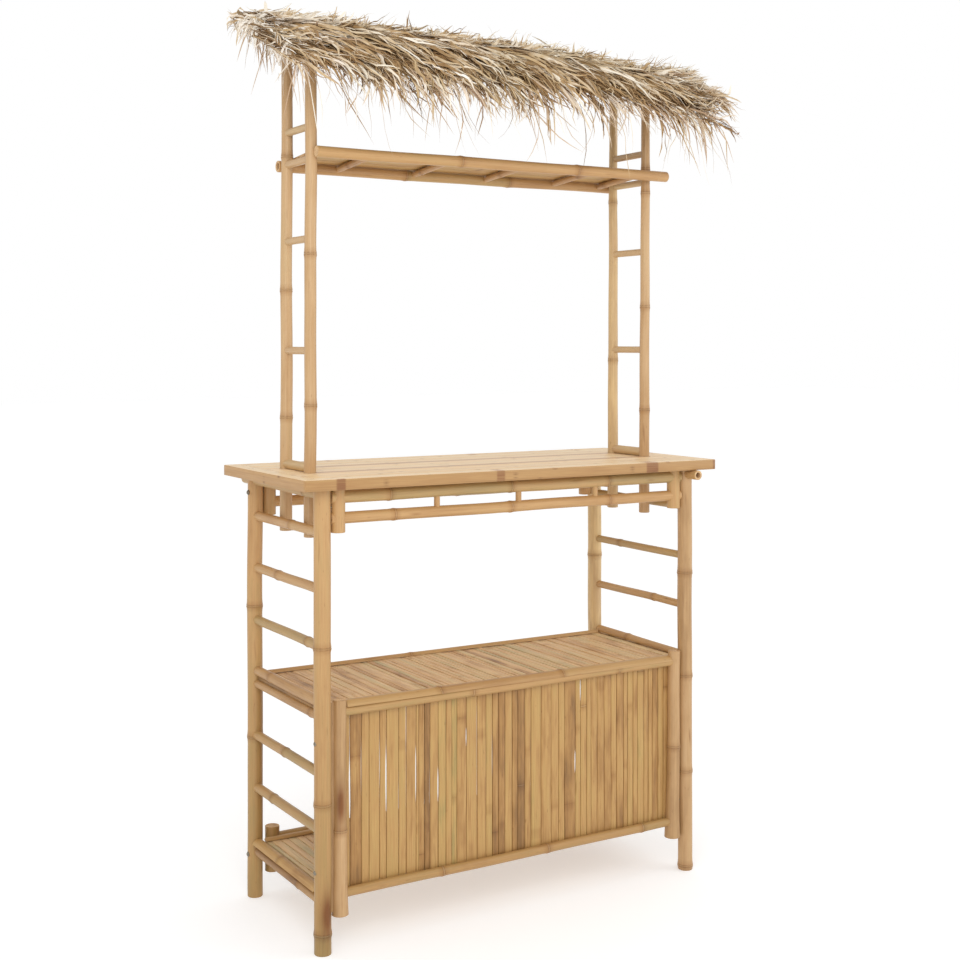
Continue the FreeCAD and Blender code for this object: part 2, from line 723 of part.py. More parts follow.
def make_front_panel(bolt_holes):
    """Make the slatted panel: two posts, two rails planed flat behind, and the slats nailed to them."""
    y = "-leg_place_y"
    levels = ("top", "bottom")
    holes = [tenon_hole(f"panel_{level}", "panel_tenon_diameter", y, f"panel_{level}_height")
             for level in levels]
    for side, sign in SIDES:
        bolts = [bolt_holes[side, f"panel_{level}"] for level in ("upper", "lower")]
        stile(f"panel_{side}", f"front_panel_{side}_post", "panel_post_diameter", "panel_post_foot",
              "panel_top_height + panel_post_rise - panel_post_foot",
              f"{sign} * panel_post_x", y, [*holes, *bolts])
    facts = ("panel_rail_diameter", "panel_tenon_diameter", "panel_post_x", "panel_post_diameter")
    for level in levels:
        name = f"front_panel_{level}_rail"
        height = f"panel_{level}_height"
        flat = box(f"{name}_flat", "2 * panel_slat_field", "panel_rail_diameter", "2 * panel_rail_diameter",
                   "-panel_slat_field", "panel_slat_y", f"{height} - panel_rail_diameter")
        node(tenoned_rail(name, facts, y, height, [flat]), name)
    pitch = "2 * panel_slat_field / panel_slat_count"
    width = f"{pitch} - panel_slat_gap"
    row = slat_row("panel_slats", [
        ("panel_slat_gap / 2", "0"),
        (f"panel_slat_gap / 2 + {width}", "0"),
        (f"panel_slat_gap / 2 + {width}", "panel_slat_thickness"),
        ("panel_slat_gap / 2", "panel_slat_thickness"),
    ], "panel_top_height + panel_slat_top_overlap - panel_slat_foot", "panel_slat_count", pitch)
    place(row, "-panel_slat_field", "panel_slat_y", "panel_slat_foot")
    node(row, "front_panel_slats")


def make_shelf(shelf, rung_index):
    """Make one shelf: battens across the rungs, slats on the battens, and a border round them."""
    batten_bottom = f"{rung_level(rung_index)} + shelf_rung_diameter / 2 + contact_gap"
    batten_top = f"{batten_bottom} + batten_thickness"
    slat_top = f"{batten_top} + shelf_slat_thickness"
    border_width = "border_pole_diameter" if shelf == "middle" else "border_strip_width"
    field = f"(leg_place_x - {border_width} / 2 - border_gap)"
    for side, sign in SIDES:
        x = f"{sign} * leg_place_x"
        if shelf == "middle":
            border = culm(f"{shelf}_{side}_border", "border_pole_diameter", "2 * shelf_half_depth")
            border_height = f"{batten_top} + contact_gap + border_pole_diameter / 2"
            place(border, x, "-shelf_half_depth", border_height, "+Y")
        else:
            border = half_culm(f"{shelf}_{side}_border", "border_strip_width", "border_strip_rise",
                               "2 * shelf_half_depth", "XZ_Plane")
            place(border, x, "shelf_half_depth", batten_top)
        node(border, f"{shelf}_shelf_{side}_border")
    for end, start in (("front", "front_trim_width / 2 - shelf_half_depth"),
                       ("rear", "shelf_half_depth - rear_trim_width / 2")):
        trim = half_culm(f"{shelf}_{end}_trim", f"{end}_trim_width", f"{end}_trim_rise",
                         f"2 * {field}", "YZ_Plane")
        place(trim, f"-{field}", start, slat_top)
        node(trim, f"{shelf}_shelf_{end}_trim")
    pitch = f"2 * {field} / shelf_slat_count"
    width = f"{pitch} - shelf_slat_gap"
    row = slat_row(f"{shelf}_slats", [
        ("shelf_slat_gap / 2", "0"),
        (f"shelf_slat_gap / 2 + {width}", "0"),
        (f"shelf_slat_gap / 2 + {width}", "2 * shelf_half_depth"),
        ("shelf_slat_gap / 2", "2 * shelf_half_depth"),
    ], "shelf_slat_thickness", "shelf_slat_count", pitch)
    place(row, f"-{field}", "-shelf_half_depth", batten_top)
    node(row, f"{shelf}_shelf_slats")
    reach = "(leg_place_x + batten_overhang)"
    battens = [
        box(f"{shelf}_batten_{number + 2}", f"2 * {reach}", "batten_width", "batten_thickness",
            f"-{reach}", f"{number} * batten_spacing - batten_width / 2", batten_bottom)
        for number in (-1, 0, 1)
    ]
    node(group(f"{shelf}_battens", battens), f"{shelf}_shelf_battens")


def make_tabletop(pin_sockets):
    """Make the counter: boards in a mitred edge, on three battens, with holes for the posts."""
    board_width = "((2 * tabletop_inner_y - (board_count - 1) * board_gap) / board_count)"
    boards = [
        box(f"board_{number + 1}", "2 * tabletop_inner_x", board_width, "tabletop_thickness",
            "-tabletop_inner_x", f"{number} * ({board_width} + board_gap) - tabletop_inner_y",
            "tabletop_underside")
        for number in range(count("board_count"))
    ]
    middle_height = "tabletop_underside + tabletop_thickness / 2"
    holes = [
        rod(f"{side}_{end}_post_hole", "post_diameter + 2 * post_hole_clearance", "2 * tabletop_thickness",
            f"{sign} * post_place_x", f"{end_sign} * post_place_y", middle_height)
        for side, sign in SIDES for end, end_sign in ENDS
    ]
    pins = [pin_sockets[side, end, "top"] for side, _ in SIDES for end, _ in ENDS]
    node(cut(group("boards", boards), holes + pins), "tabletop_boards")
    outer_x, outer_y = "tabletop_length / 2", "tabletop_depth / 2"
    inner_x, inner_y = "tabletop_inner_x", "tabletop_inner_y"
    for end, sign in ENDS:
        edge = padded(f"top_{end}_edge", [
            (f"-{outer_x}", f"{sign} * {outer_y}"), (outer_x, f"{sign} * {outer_y}"),
            (inner_x, f"{sign} * {inner_y}"), (f"-{inner_x}", f"{sign} * {inner_y}"),
        ], "XY_Plane", "tabletop_thickness")
        place(edge, "0", "0", "tabletop_underside")
        node(edge, f"tabletop_{end}_edge")
    for side, sign in SIDES:
        edge = padded(f"top_{side}_edge", [
            (f"{sign} * {outer_x}", f"-{outer_y}"), (f"{sign} * {outer_x}", outer_y),
            (f"{sign} * {inner_x}", inner_y), (f"{sign} * {inner_x}", f"-{inner_y}"),
        ], "XY_Plane", "tabletop_thickness")
        place(edge, "0", "0", "tabletop_underside")
        node(edge, f"tabletop_{side}_edge")
    half = "(leg_place_y - apron_upper_diameter / 2 - tabletop_batten_gap)"
    battens = [
        box(f"top_batten_{number + 2}", "tabletop_batten_width", f"2 * {half}", "tabletop_batten_thickness",
            f"{number} * tabletop_batten_spacing - tabletop_batten_width / 2", f"-{half}",
            "tabletop_underside - tabletop_batten_thickness")
        for number in (-1, 0, 1)
    ]
    node(group("top_battens", battens), "tabletop_battens")


def make_ladders(pin_sockets):
    """Make the two post ladders that stand through the counter and carry the rack and the roof."""
    heights = ("ladder_bottom_height", "ladder_lower_height", "ladder_middle_height",
               "ladder_rack_height", "ladder_upper_height")
    for side, sign in SIDES:
        x = f"{sign} * post_place_x"
        rungs, rung_sockets = [], []
        for height in heights:
            size = "ladder_bottom_diameter" if height == "ladder_bottom_height" else "ladder_rung_diameter"
            name = f"{side}_{height}_rung"
            rung, space = rod_and_socket(name, size, "2 * ladder_reach", x, "0", height, "Y")
            rungs.append(rung)
            rung_sockets.append(space)
        for end, end_sign in ENDS:
            name = f"{side}_{end}_post"
            y = f"{end_sign} * post_place_y"
            top = f"{end}_roof_height"
            post = culm(f"{name}_culm", "post_diameter", f"{top} - post_foot",
                        node_places(name, "post_foot"), "stile_bore_depth")
            place(post, x, y, "post_foot")
            saddle = rod(f"{name}_saddle", "roof_rail_diameter + 2 * contact_gap", "2 * post_diameter",
                         x, y, top, "X")
            pins = [pin_sockets[side, end, use] for use in ("post", "rack", "roof")]
            node(cut(post, [saddle, *pins, *rung_sockets]), name)
        node(group(f"{side}_ladder_rungs", rungs), f"{side}_post_rungs")


def rack_dowel(name, x, grow=""):
    """Make one dowel of the rack, or with a little growth its sockets, on the rack's slope."""
    wide = " + 2 * socket_clearance" if grow else ""
    reach = f"(rack_dowel_reach{grow})"
    dowel = doc.addObject("Part::Cylinder", name)
    dowel.setExpression("Radius", formula(f"(rack_dowel_diameter{wide}) / 2"))
    dowel.setExpression("Height", formula(f"2 * {reach}"))
    y, z = along_slope(f"-{reach}", "0", "rack_angle", "rack_middle_height")
    place(dowel, x, y, z, tilt="rack_angle - 90 deg")
    return dowel


def make_rack(pin_sockets):
    """Make the bottle rack: two rails beside the posts, dowels between them, planks on the dowels."""
    places = [f"rack_dowel_start + {number} * rack_dowel_spacing"
              for number in range(count("rack_dowel_count"))]
    places.append("rack_end_dowel")
    dowels = [rack_dowel(f"rack_dowel_{number}", x) for number, x in enumerate(places, start=1)]
    sockets = [rack_dowel(f"rack_socket_{number}", x, " + socket_end_gap")
               for number, x in enumerate(places, start=1)]
    for end, end_sign in ENDS:
        name = f"rack_{end}_rail"
        left, right = f"rack_{end}_left_reach", f"rack_{end}_right_reach"
        rail = culm(f"{name}_culm", "rack_rail_diameter", f"{left} + {right}",
                    node_places(name, f"-{left}"), "bore_depth", "bore_depth")
        place(rail, f"-{left}", f"{end_sign} * rack_rail_y", f"rack_{end}_height", "+X")
        pins = [pin_sockets[side, end, "rack"] for side, _ in SIDES]
        node(cut(rail, sockets + pins), name)
    node(group("dowels", dowels), "rack_dowels")
    width = "((2 * rack_plank_field - (rack_plank_count - 1) * rack_plank_gap) / rack_plank_count)"
    planks = []
    for number in range(count("rack_plank_count")):
        y, z = along_slope(f"{number} * ({width} + rack_plank_gap) - rack_plank_field",
                           "rack_dowel_diameter / 2 + contact_gap", "rack_angle", "rack_middle_height")
        planks.append(box(f"rack_plank_{number + 1}", "rack_plank_left_reach + rack_plank_right_reach", width,
                          "rack_plank_thickness", "-rack_plank_left_reach", y, z, tilt="rack_angle"))
    node(group("planks", planks), "rack_slats")


def make_roof(pin_sockets):
    """Make the roof frame: a rail on each pair of posts, rafters across, and rods for the thatch."""
    rails = []
    for end, end_sign in ENDS:
        rail = culm(f"roof_{end}_rail", "roof_rail_diameter", "roof_rail_length",
                    start_bore="bore_depth", end_bore="bore_depth")
        place(rail, "roof_rail_shift - roof_rail_length / 2", f"{end_sign} * post_place_y",
              f"{end}_roof_height", "+X")
        rails.append(cut(rail, [pin_sockets[side, end, "roof"] for side, _ in SIDES]))
    node(group("rails", rails), "roof_rails")
    y, z = along_slope("rafter_shift - rafter_length / 2", "rafter_lift", "roof_angle", "roof_middle_height")
    middle = "(rafter_count - 1) / 2"
    start = "roof_rail_shift - rafter_width / 2"
    lattice = [
        box(f"rafter_{number + 1}", "rafter_width", "rafter_length", "rafter_thickness",
            f"{start} + ({number} - {middle}) * rafter_spacing", y, z, tilt="roof_angle")
        for number in range(count("rafter_count"))
    ]
    for number in (-1, 0, 1):
        y, z = along_slope(f"{number} * thatch_rod_spacing", "thatch_rod_lift",
                           "roof_angle", "roof_middle_height")
        lattice.append(rod(f"thatch_rod_{number + 2}", "thatch_rod_diameter", "thatch_rod_length",
                           "roof_rail_shift", y, z, "X"))
    node(group("lattice", lattice), "roof_lattice")


def make_thatch():
    """Make the three rows of thatch as closed forms lying on the rods, the front one with its fringe."""
    seat = "thatch_seat"
    crest = "thatch_seat + thatch_thickness"
    rear_seam_top = "thatch_rear_seam - thatch_rear_seam_lean"
    front_seam_top = "thatch_front_seam + thatch_front_seam_lean"
    rows = {
        "rear": [
            ("thatch_rear_seam", seat), ("thatch_rear_reach", seat),
            ("thatch_rear_reach + thatch_rear_overhang", "thatch_seat + thatch_rear_thickness"),
            ("thatch_rear_crest", crest), (rear_seam_top, crest),
        ],
        "middle": [
            ("-thatch_front_seam", seat), ("thatch_rear_seam - thatch_row_gap", seat),
            (f"{rear_seam_top} - thatch_row_gap", crest), ("-thatch_front_crest", crest),
            (f"-({front_seam_top})", "thatch_seat + thatch_front_thickness"),
        ],
        "front": [
            ("-thatch_front_reach", seat), ("-thatch_front_seam - thatch_row_gap", seat),
            (f"-({front_seam_top}) - thatch_row_gap", "thatch_seat + thatch_front_thickness"),
            ("-fringe_crown_reach", "fringe_crown_lift"), ("-fringe_brow_reach", "fringe_brow_lift"),
            ("-fringe_reach", "-fringe_reach_drop"), ("-fringe_tip_reach", "-fringe_tip_drop"),
            ("-fringe_knee_reach", "fringe_knee_lift"),
        ],
    }
    for row, corners in rows.items():
        left, right = "thatch_left_reach", "thatch_right_reach"
        if row != "front":
            left = f"(thatch_left_reach - thatch_{row}_left_setback)"
            right = f"(thatch_right_reach - thatch_{row}_right_setback)"
        body = padded(f"{row}_thatch", corners, "YZ_Plane", f"{left} + {right}")
        place(body, f"-{left}", "0", "roof_middle_height", tilt="roof_angle")
        node(body, f"thatch_{row}_row")


def check_and_write():
    """Recompute, stop on anything that failed, and write one file for each sub-part."""
    doc.recompute()
    for item in doc.Objects:
        if {"Invalid", "Error"} & set(item.State):
            raise RuntimeError(f"{item.Label} failed: {item.State}")
    for piece in nodes:
        if piece.Shape.isNull() or not piece.Shape.isValid():
            raise RuntimeError(f"{piece.Label} has no valid shape")
    os.makedirs("parts", exist_ok=True)
    for piece in nodes:
        piece.Shape.exportStep(os.path.join("parts", f"{piece.Label}.step"))
        print(f"{piece.Label}: {len(piece.Shape.Solids)} solids, {piece.Shape.Volume / 1000:.1f} cm3")


def main():
    bolts, bolt_holes = make_bolts()
    pins, pin_sockets = make_pins()
    make_side_frames(bolt_holes, pin_sockets)
    make_aprons(bolt_holes)
    make_stretcher(bolt_holes)
    make_front_panel(bolt_holes)
    make_shelf("middle", RUNGS_PER_SHELF)
    make_shelf("bottom", 0)
    make_tabletop(pin_sockets)
    make_ladders(pin_sockets)
    make_rack(pin_sockets)
    make_roof(pin_sockets)
    make_thatch()
    node(group("fasteners", bolts + pins), "bolts_and_pins")
    check_and_write()


main()
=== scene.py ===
# %% [markdown]
# # A free-standing bamboo bar with a thatched lean-to roof
#
# The bar is built from round bamboo culms, split bamboo slats, planed bamboo boards and dry palm
# leaves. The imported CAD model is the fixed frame: it says where every piece is. This script dresses it,
# piece by piece, in the same metres and the same place.

# %% Load the frame
import math
import random

import bmesh
import bpy
import numpy as np
from mathutils import Matrix, Vector, noise


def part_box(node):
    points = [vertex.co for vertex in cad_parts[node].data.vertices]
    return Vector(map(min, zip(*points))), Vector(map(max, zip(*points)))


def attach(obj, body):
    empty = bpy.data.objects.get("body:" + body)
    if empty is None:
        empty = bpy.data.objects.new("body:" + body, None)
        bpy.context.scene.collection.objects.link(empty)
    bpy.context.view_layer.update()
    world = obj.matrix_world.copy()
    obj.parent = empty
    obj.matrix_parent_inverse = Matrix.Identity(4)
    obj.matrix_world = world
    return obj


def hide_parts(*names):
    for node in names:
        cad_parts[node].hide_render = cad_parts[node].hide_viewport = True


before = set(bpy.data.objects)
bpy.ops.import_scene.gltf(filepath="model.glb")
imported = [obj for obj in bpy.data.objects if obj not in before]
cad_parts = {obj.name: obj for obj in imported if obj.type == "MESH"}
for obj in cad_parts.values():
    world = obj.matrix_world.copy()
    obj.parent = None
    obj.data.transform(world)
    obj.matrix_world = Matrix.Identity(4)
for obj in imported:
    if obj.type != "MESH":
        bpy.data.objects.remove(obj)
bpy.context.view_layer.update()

# %% [markdown]
# Everything is measured from the middle of the bar, halfway between its four legs. The boxes of the
# legs give that middle, so nothing here repeats the CAD model's own offsets.

# %% Find the middle of the bar
leg_low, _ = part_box("left_front_leg")
_, leg_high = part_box("right_rear_leg")
MIDDLE = Vector(((leg_low.x + leg_high.x) / 2, (leg_low.y + leg_high.y) / 2, 0))
LEG_X = 0.507
LEG_Y = 0.197
COUNTER = 1.05
print("middle:", [round(value, 4) for value in MIDDLE])


def at(x, y, z):
    """Give the place of a point measured from the middle of the bar."""
    return MIDDLE + Vector((x, y, z))


# %% [markdown]
# Blender keeps what a thing is, its data, apart from where it is, its object. Three helpers wrap the
# steps that every piece repeats: link an object to the scene, turn a bmesh into a mesh, and start a
# material that is made of nodes.

# %% Define the helpers that every piece uses
def add_object(name, data):
    """Put an object that carries some data into the scene."""
    made = bpy.data.objects.new(name, data)
    bpy.context.scene.collection.objects.link(made)
    return made


def to_mesh(name, shape):
    """Turn a bmesh into a mesh of its own."""
    mesh = bpy.data.meshes.new(name)
    shape.to_mesh(mesh)
    shape.free()
    return mesh


def start_material(name, **settings):
    """Start a material, set plain values on its Principled shader, and give its node tree."""
    material = bpy.data.materials.new(name)
    material.use_nodes = True
    shader = material.node_tree.nodes["Principled BSDF"]
    for socket, value in settings.items():
        shader.inputs[socket.replace("_", " ")].default_value = value
    return material, material.node_tree, shader


# %% [markdown]
# The photograph was taken level, from the front left, with a long lens. A camera that looks down would
# make the culms lean, so this one stays level too and shifts its picture down instead.

# %% Set up the camera
CAMERA_PLACE = (-1.8466, -3.1248, 1.3469)
CAMERA_YAW = -30.77
CAMERA_SHIFT = -0.1424
SENSOR = 36.0
LENS = 1450.8 / 960 * SENSOR

optics = bpy.data.cameras.new("camera")
optics.lens = LENS
optics.sensor_width = SENSOR
optics.sensor_fit = "HORIZONTAL"
optics.shift_y = CAMERA_SHIFT
camera = add_object("camera", optics)
camera.location = at(*CAMERA_PLACE)
camera.rotation_euler = (math.radians(90), 0, math.radians(CAMERA_YAW))
bpy.context.scene.camera = camera
bpy.context.scene.view_settings.view_transform = "Standard"
print("lens:", round(LENS, 2), "mm")

# %% [markdown]
# The studio is a plain white room with a large soft lamp at the front left and a weaker one at the
# right. A room as bright as it looks would flatten the round culms, so a Light Path node lets only the
# camera see it fully white, and the bar gets a little less of its light.

# %% Light the room
ROOM_LIGHT = 0.86
LAMP_SIZE = 2.4
LAMP_TARGET = Vector((0, 0, 0.9))

room = bpy.data.worlds.new("room")
room.use_nodes = True
nodes, links = room.node_tree.nodes, room.node_tree.links
strength = nodes.new("ShaderNodeMapRange")
strength.inputs["To Min"].default_value = ROOM_LIGHT
links.new(nodes.new("ShaderNodeLightPath").outputs["Is Camera Ray"], strength.inputs["Value"])
links.new(strength.outputs[0], nodes["Background"].inputs["Strength"])
nodes["Background"].inputs["Color"].default_value = (1, 1, 1, 1)
bpy.context.scene.world = room

for name, place, power in (("key_lamp", (-2.3, -3.4, 2.9), 62), ("fill_lamp", (3.0, -2.4, 2.0), 26)):
    light = bpy.data.lights.new(name, "AREA")
    light.shape = "SQUARE"
    light.size = LAMP_SIZE
    light.energy = power
    lamp = add_object(name, light)
    lamp.location = place
    lamp.rotation_euler = (LAMP_TARGET - Vector(place)).to_track_quat("-Z", "Y").to_euler()
    print(name, power, "W")

# %% [markdown]
# The floor is one wide flat face, painted nearly white and glowing a little, so that it fades into the
# white room and still takes the bar's soft shadow.

# %% Lay the floor
FLOOR_SIZE = 30
shape = bmesh.new()
bmesh.ops.create_grid(shape, x_segments=1, y_segments=1, size=FLOOR_SIZE)
floor = add_object("floor", to_mesh("floor", shape))
floor_paint, _, _ = start_material(
    "floor_paint", Base_Color=(0.7, 0.7, 0.7, 1), Roughness=0.9, Specular_IOR_Level=0.1,
    Emission_Color=(1, 1, 1, 1), Emission_Strength=0.40)
floor.data.materials.append(floor_paint)
print("floor:", 2 * FLOOR_SIZE, "m wide")

# %% [markdown]
# A material is a tree of nodes. Building one in code means the same few moves again and again: add a
# node, feed its inputs, stretch a noise, map a range. Each move gets a short helper here, so that a
# finish below reads like a recipe.

# %% Define the helpers for node trees
def feed(tree, socket, source):
    """Link a socket to what feeds it, or set it to a plain value."""
    if isinstance(source, bpy.types.NodeSocket):
        tree.links.new(source, socket)
    else:
        socket.default_value = source


def add_node(tree, kind, inputs=None, **options):
    """Add a node, set its options and feed its inputs."""
    made = tree.nodes.new(kind)
    for option, choice in options.items():
        setattr(made, option, choice)
    for socket, source in (inputs or {}).items():
        feed(tree, made.inputs[socket], source)
    return made


def maths(tree, operation, first, second):
    """Reckon with two values."""
    return add_node(tree, "ShaderNodeMath", {0: first, 1: second}, operation=operation).outputs[0]


def ramp(tree, value, low, high, to_low=0.0, to_high=1.0):
    """Map one range of a value to another, and hold it at the ends."""
    return add_node(tree, "ShaderNodeMapRange", {
        "Value": value, "From Min": low, "From Max": high, "To Min": to_low, "To Max": to_high}).outputs[0]


def attribute(tree, name):
    """Read a value that the mesh carries at each point."""
    return add_node(tree, "ShaderNodeAttribute", attribute_name=name).outputs["Fac"]


def figure_noise(tree, vector, stretch, detail=2.0, roughness=0.6):
    """Draw a noise that is stretched by its own amount in each direction."""
    spread = add_node(tree, "ShaderNodeMapping", {"Vector": vector, "Scale": stretch}).outputs[0]
    return add_node(tree, "ShaderNodeTexNoise", {
        "Vector": spread, "Scale": 1.0, "Detail": detail, "Roughness": roughness}).outputs["Fac"]


def object_noise(tree, scale, detail=2.0):
    """Draw an even noise in Object coordinates."""
    place = add_node(tree, "ShaderNodeTexCoord").outputs["Object"]
    return add_node(tree, "ShaderNodeTexNoise", {
        "Vector": place, "Scale": scale, "Detail": detail}).outputs["Fac"]


def new_group(name, inputs, outputs):
    """Start a node group of plain values, and give its tree and the sockets at both its ends."""
    tree = bpy.data.node_groups.new(name, "ShaderNodeTree")
    for label, start in inputs.items():
        socket = tree.interface.new_socket(label, in_out="INPUT", socket_type="NodeSocketFloat")
        socket.default_value = start
    for label in outputs:
        tree.interface.new_socket(label, in_out="OUTPUT", socket_type="NodeSocketFloat")
    return tree, tree.nodes.new("NodeGroupInput").outputs, tree.nodes.new("NodeGroupOutput").inputs


# %% [markdown]
# Bamboo is seen here in four finishes: the round skin of a culm, split slats, planed boards and cut
# ends. They share one figure: fine fibres along the grain, cloudy tone, and the dark line of each knot.
# It is a node group, so it is built once, and each finish only chooses its strengths and colours.
#
# The figure reads three things that each piece carries: a UV map in metres, with V along the grain, a
# tone for each culm or slat, and the distance to the nearest knot.

# %% Build the shared bamboo figure
VEIN_SHIFT = 0.4
figure, chosen, given = new_group(
    "bamboo_figure", {"Fibre Dark": 0.35, "Cloud Shift": 0.5, "Knot Line": 0.42},
    ("Place", "Dark", "Edge", "Fibre", "Vein", "Cloud", "Speck", "Scorch", "Line", "Halo"))
grain = add_node(figure, "ShaderNodeUVMap", uv_map="grain").outputs[0]
knot = attribute(figure, "knot")
fibre = figure_noise(figure, grain, (900, 8, 1), 3)
vein = figure_noise(figure, grain, (220, 3, 1))
cloud = figure_noise(figure, grain, (34, 7, 1), 3)
cloud_shift = maths(figure, "MULTIPLY", maths(figure, "SUBTRACT", cloud, 0.5), chosen["Cloud Shift"])
vein_shift = maths(figure, "MULTIPLY", maths(figure, "SUBTRACT", vein, 0.5), VEIN_SHIFT)
edge = maths(figure, "MULTIPLY", ramp(figure, knot, 0.0010, 0.0018), ramp(figure, knot, 0.0022, 0.0042, 1, 0))
uneven = maths(figure, "MULTIPLY", ramp(figure, vein, 0.35, 0.6, 0.1, 1), chosen["Knot Line"])
for label, value in {
    "Place": maths(figure, "ADD", maths(figure, "ADD", attribute(figure, "tone"), cloud_shift), vein_shift),
    "Dark": ramp(figure, fibre, 0.35, 0.75, 0, chosen["Fibre Dark"]),
    "Edge": maths(figure, "MULTIPLY", edge, uneven),
    "Fibre": fibre,
    "Vein": vein,
    "Cloud": cloud,
    "Speck": ramp(figure, figure_noise(figure, grain, (260, 45, 1), 1), 0.70, 0.78),
    "Scorch": ramp(figure, figure_noise(figure, grain, (70, 9, 1), 1), 0.68, 0.8),
    "Line": ramp(figure, knot, 0.0005, 0.0014, 1, 0),
    "Halo": ramp(figure, knot, 0.002, 0.016, 1, 0),
}.items():
    figure.links.new(value, given[label])
print("bamboo figure:", len(figure.nodes), "nodes")

# %% [markdown]
# A finish is a colour and a list of shades over it. Each shade multiplies what is under it, where its
# mask says so, as a thin glaze does on real wood. Painting each mark in its own colour would look
# pasted on; a glaze keeps the grain below it.

# %% Define how colours are laid over each other
def colour(hex_code):
    """Turn a colour as written for a screen into the linear values that a shader takes."""
    parts = [int(hex_code[i:i + 2], 16) / 255 for i in (0, 2, 4)]
    return (*(p / 12.92 if p <= 0.04045 else ((p + 0.055) / 1.055) ** 2.4 for p in parts), 1)


def colour_ramp(tree, value, stops):
    """Colour a value by a row of (place, colour) stops."""
    made = add_node(tree, "ShaderNodeValToRGB", {"Fac": value})
    elements = made.color_ramp.elements
    while len(elements) < len(stops):
        elements.new(0.5)
    for element, (place, shade) in zip(elements, stops):
        element.position = place
        element.color = colour(shade)
    return made.outputs["Color"]


def mixed(tree, base, shade, amount, blend="MULTIPLY"):
    """Mix two colours; the Mix node has its colour sockets at places 6 and 7."""
    return add_node(tree, "ShaderNodeMix", {0: amount, 6: base, 7: colour(shade)}, data_type="RGBA",
                    blend_type=blend).outputs[2]


def shaded(tree, base, shades):
    """Lay (colour, mask, strength) shades over a base colour, one after another."""
    for shade, mask, share in shades:
        base = mixed(tree, base, shade, mask if share == 1 else maths(tree, "MULTIPLY", mask, share))
    return base


def add_relief(tree, shader, height, strength, depth):
    """Turn a height into a relief of the shader's surface."""
    bump = add_node(tree, "ShaderNodeBump", {"Height": height, "Strength": strength, "Distance": depth})
    feed(tree, shader.inputs["Normal"], bump.outputs[0])


def dress_shader(tree, shader, base, seen, roughness, relief):
    """Give a shader its colour, a roughness that follows the veins and the relief of the fibres."""
    feed(tree, shader.inputs["Base Color"], base)
    feed(tree, shader.inputs["Roughness"], ramp(tree, seen["Vein"], 0.3, 0.7, *roughness))
    add_relief(tree, shader, seen["Fibre"], *relief)


print("half grey on a screen is", round(colour("808080")[0], 3), "in linear light")

# %% [markdown]
# The tone of a culm or slat picks its colour from green-grey over honey to brown. Clouds and veins move
# it a little, and fibres, specks, scorch marks and knots darken it. The skin of the darker culms also
# gets a painted shade that darkens it towards the floor. One recipe with five sets of colours keeps all of
# them one wood.

# %% Mix the bamboo finishes
# Below this height the skin gets a painted shade that deepens towards the floor
SHADE_HEIGHT = 0.95


def bamboo_finish(name, stops, fibre=0.35, cloud=0.5, roughness=0.45, low_shade=0.0):
    """Make one bamboo material from the shared figure."""
    material, tree, shader = start_material(name)
    seen = add_node(tree, "ShaderNodeGroup", {"Fibre Dark": fibre, "Cloud Shift": cloud},
                    node_tree=figure).outputs
    place = add_node(tree, "ShaderNodeTexCoord").outputs["Object"]
    height = add_node(tree, "ShaderNodeSeparateXYZ", {"Vector": place}).outputs["Z"]
    base = shaded(tree, colour_ramp(tree, seen["Place"], stops), (
        ("b08c62", seen["Dark"], 1),
        ("9a7a52", seen["Speck"], 0.35),
        ("b3905c", seen["Scorch"], 0.55),
        ("b68c50", attribute(tree, "scorch"), 1),
        # Painted shade: the skin darkens from the shade height down to the floor
        ("e2dcc9", ramp(tree, height, 0.0, SHADE_HEIGHT, low_shade, 0), 1),
        ("cdb594", seen["Halo"], 0.5),
        ("8a653f", seen["Edge"], 1)))
    base = mixed(tree, base, "e0cda4", maths(tree, "MULTIPLY", seen["Line"], 0.2), "MIX")
    dress_shader(tree, shader, base, seen, (roughness - 0.08, roughness + 0.1), (0.25, 0.0004))
    return material


skin = bamboo_finish("bamboo_skin", [
    (0.0, "ad9362"), (0.25, "bb9b66"), (0.5, "c69e6a"), (0.75, "ba905e"), (1.0, "9c744a")],
    cloud=0.8, low_shade=1.0)
# The palest stop is what the right rear leg takes: painted light on a leg in the counter's shade
pale_skin = bamboo_finish("pale_skin", [
    (0.0, "e0c38e"), (0.25, "c8aa7c"), (0.5, "caa87c"), (0.75, "bf9a6c"), (1.0, "a68256")], cloud=0.7)
split = bamboo_finish("split_slats", [
    (0.0, "ab9459"), (0.2, "bf9d5f"), (0.5, "bf975c"), (0.75, "aa8049"), (1.0, "8a6638")],
    fibre=0.55, cloud=1.3, roughness=0.5)
# The shelves' slats are paler than the panel's, partly their own colour and partly painted light that lifts
# the shade under the counter
lightened_shelf_split = bamboo_finish("shelf_slats", [
    (0.0, "c8b688"), (0.25, "dfc593"), (0.5, "e6c391"), (0.75, "cfa878"), (1.0, "a07c55")],
    fibre=0.7, cloud=1.2, roughness=0.55)
trim_skin = bamboo_finish("trim_skin", [(0.0, "bb9a64"), (0.5, "bd9763"), (1.0, "a67d50")], cloud=0.7)
print("bamboo finishes:", skin.name, pale_skin.name, split.name, lightened_shelf_split.name, trim_skin.name)

# %% [markdown]
# Planed boards are glued from narrow strips. Each strip has its own tone and its own dark knot marks.
# Modelling every strip would cost thousands of faces for a flat surface, so a second group numbers the
# strips across the board, and a random number for each strip shifts its marks along the grain.

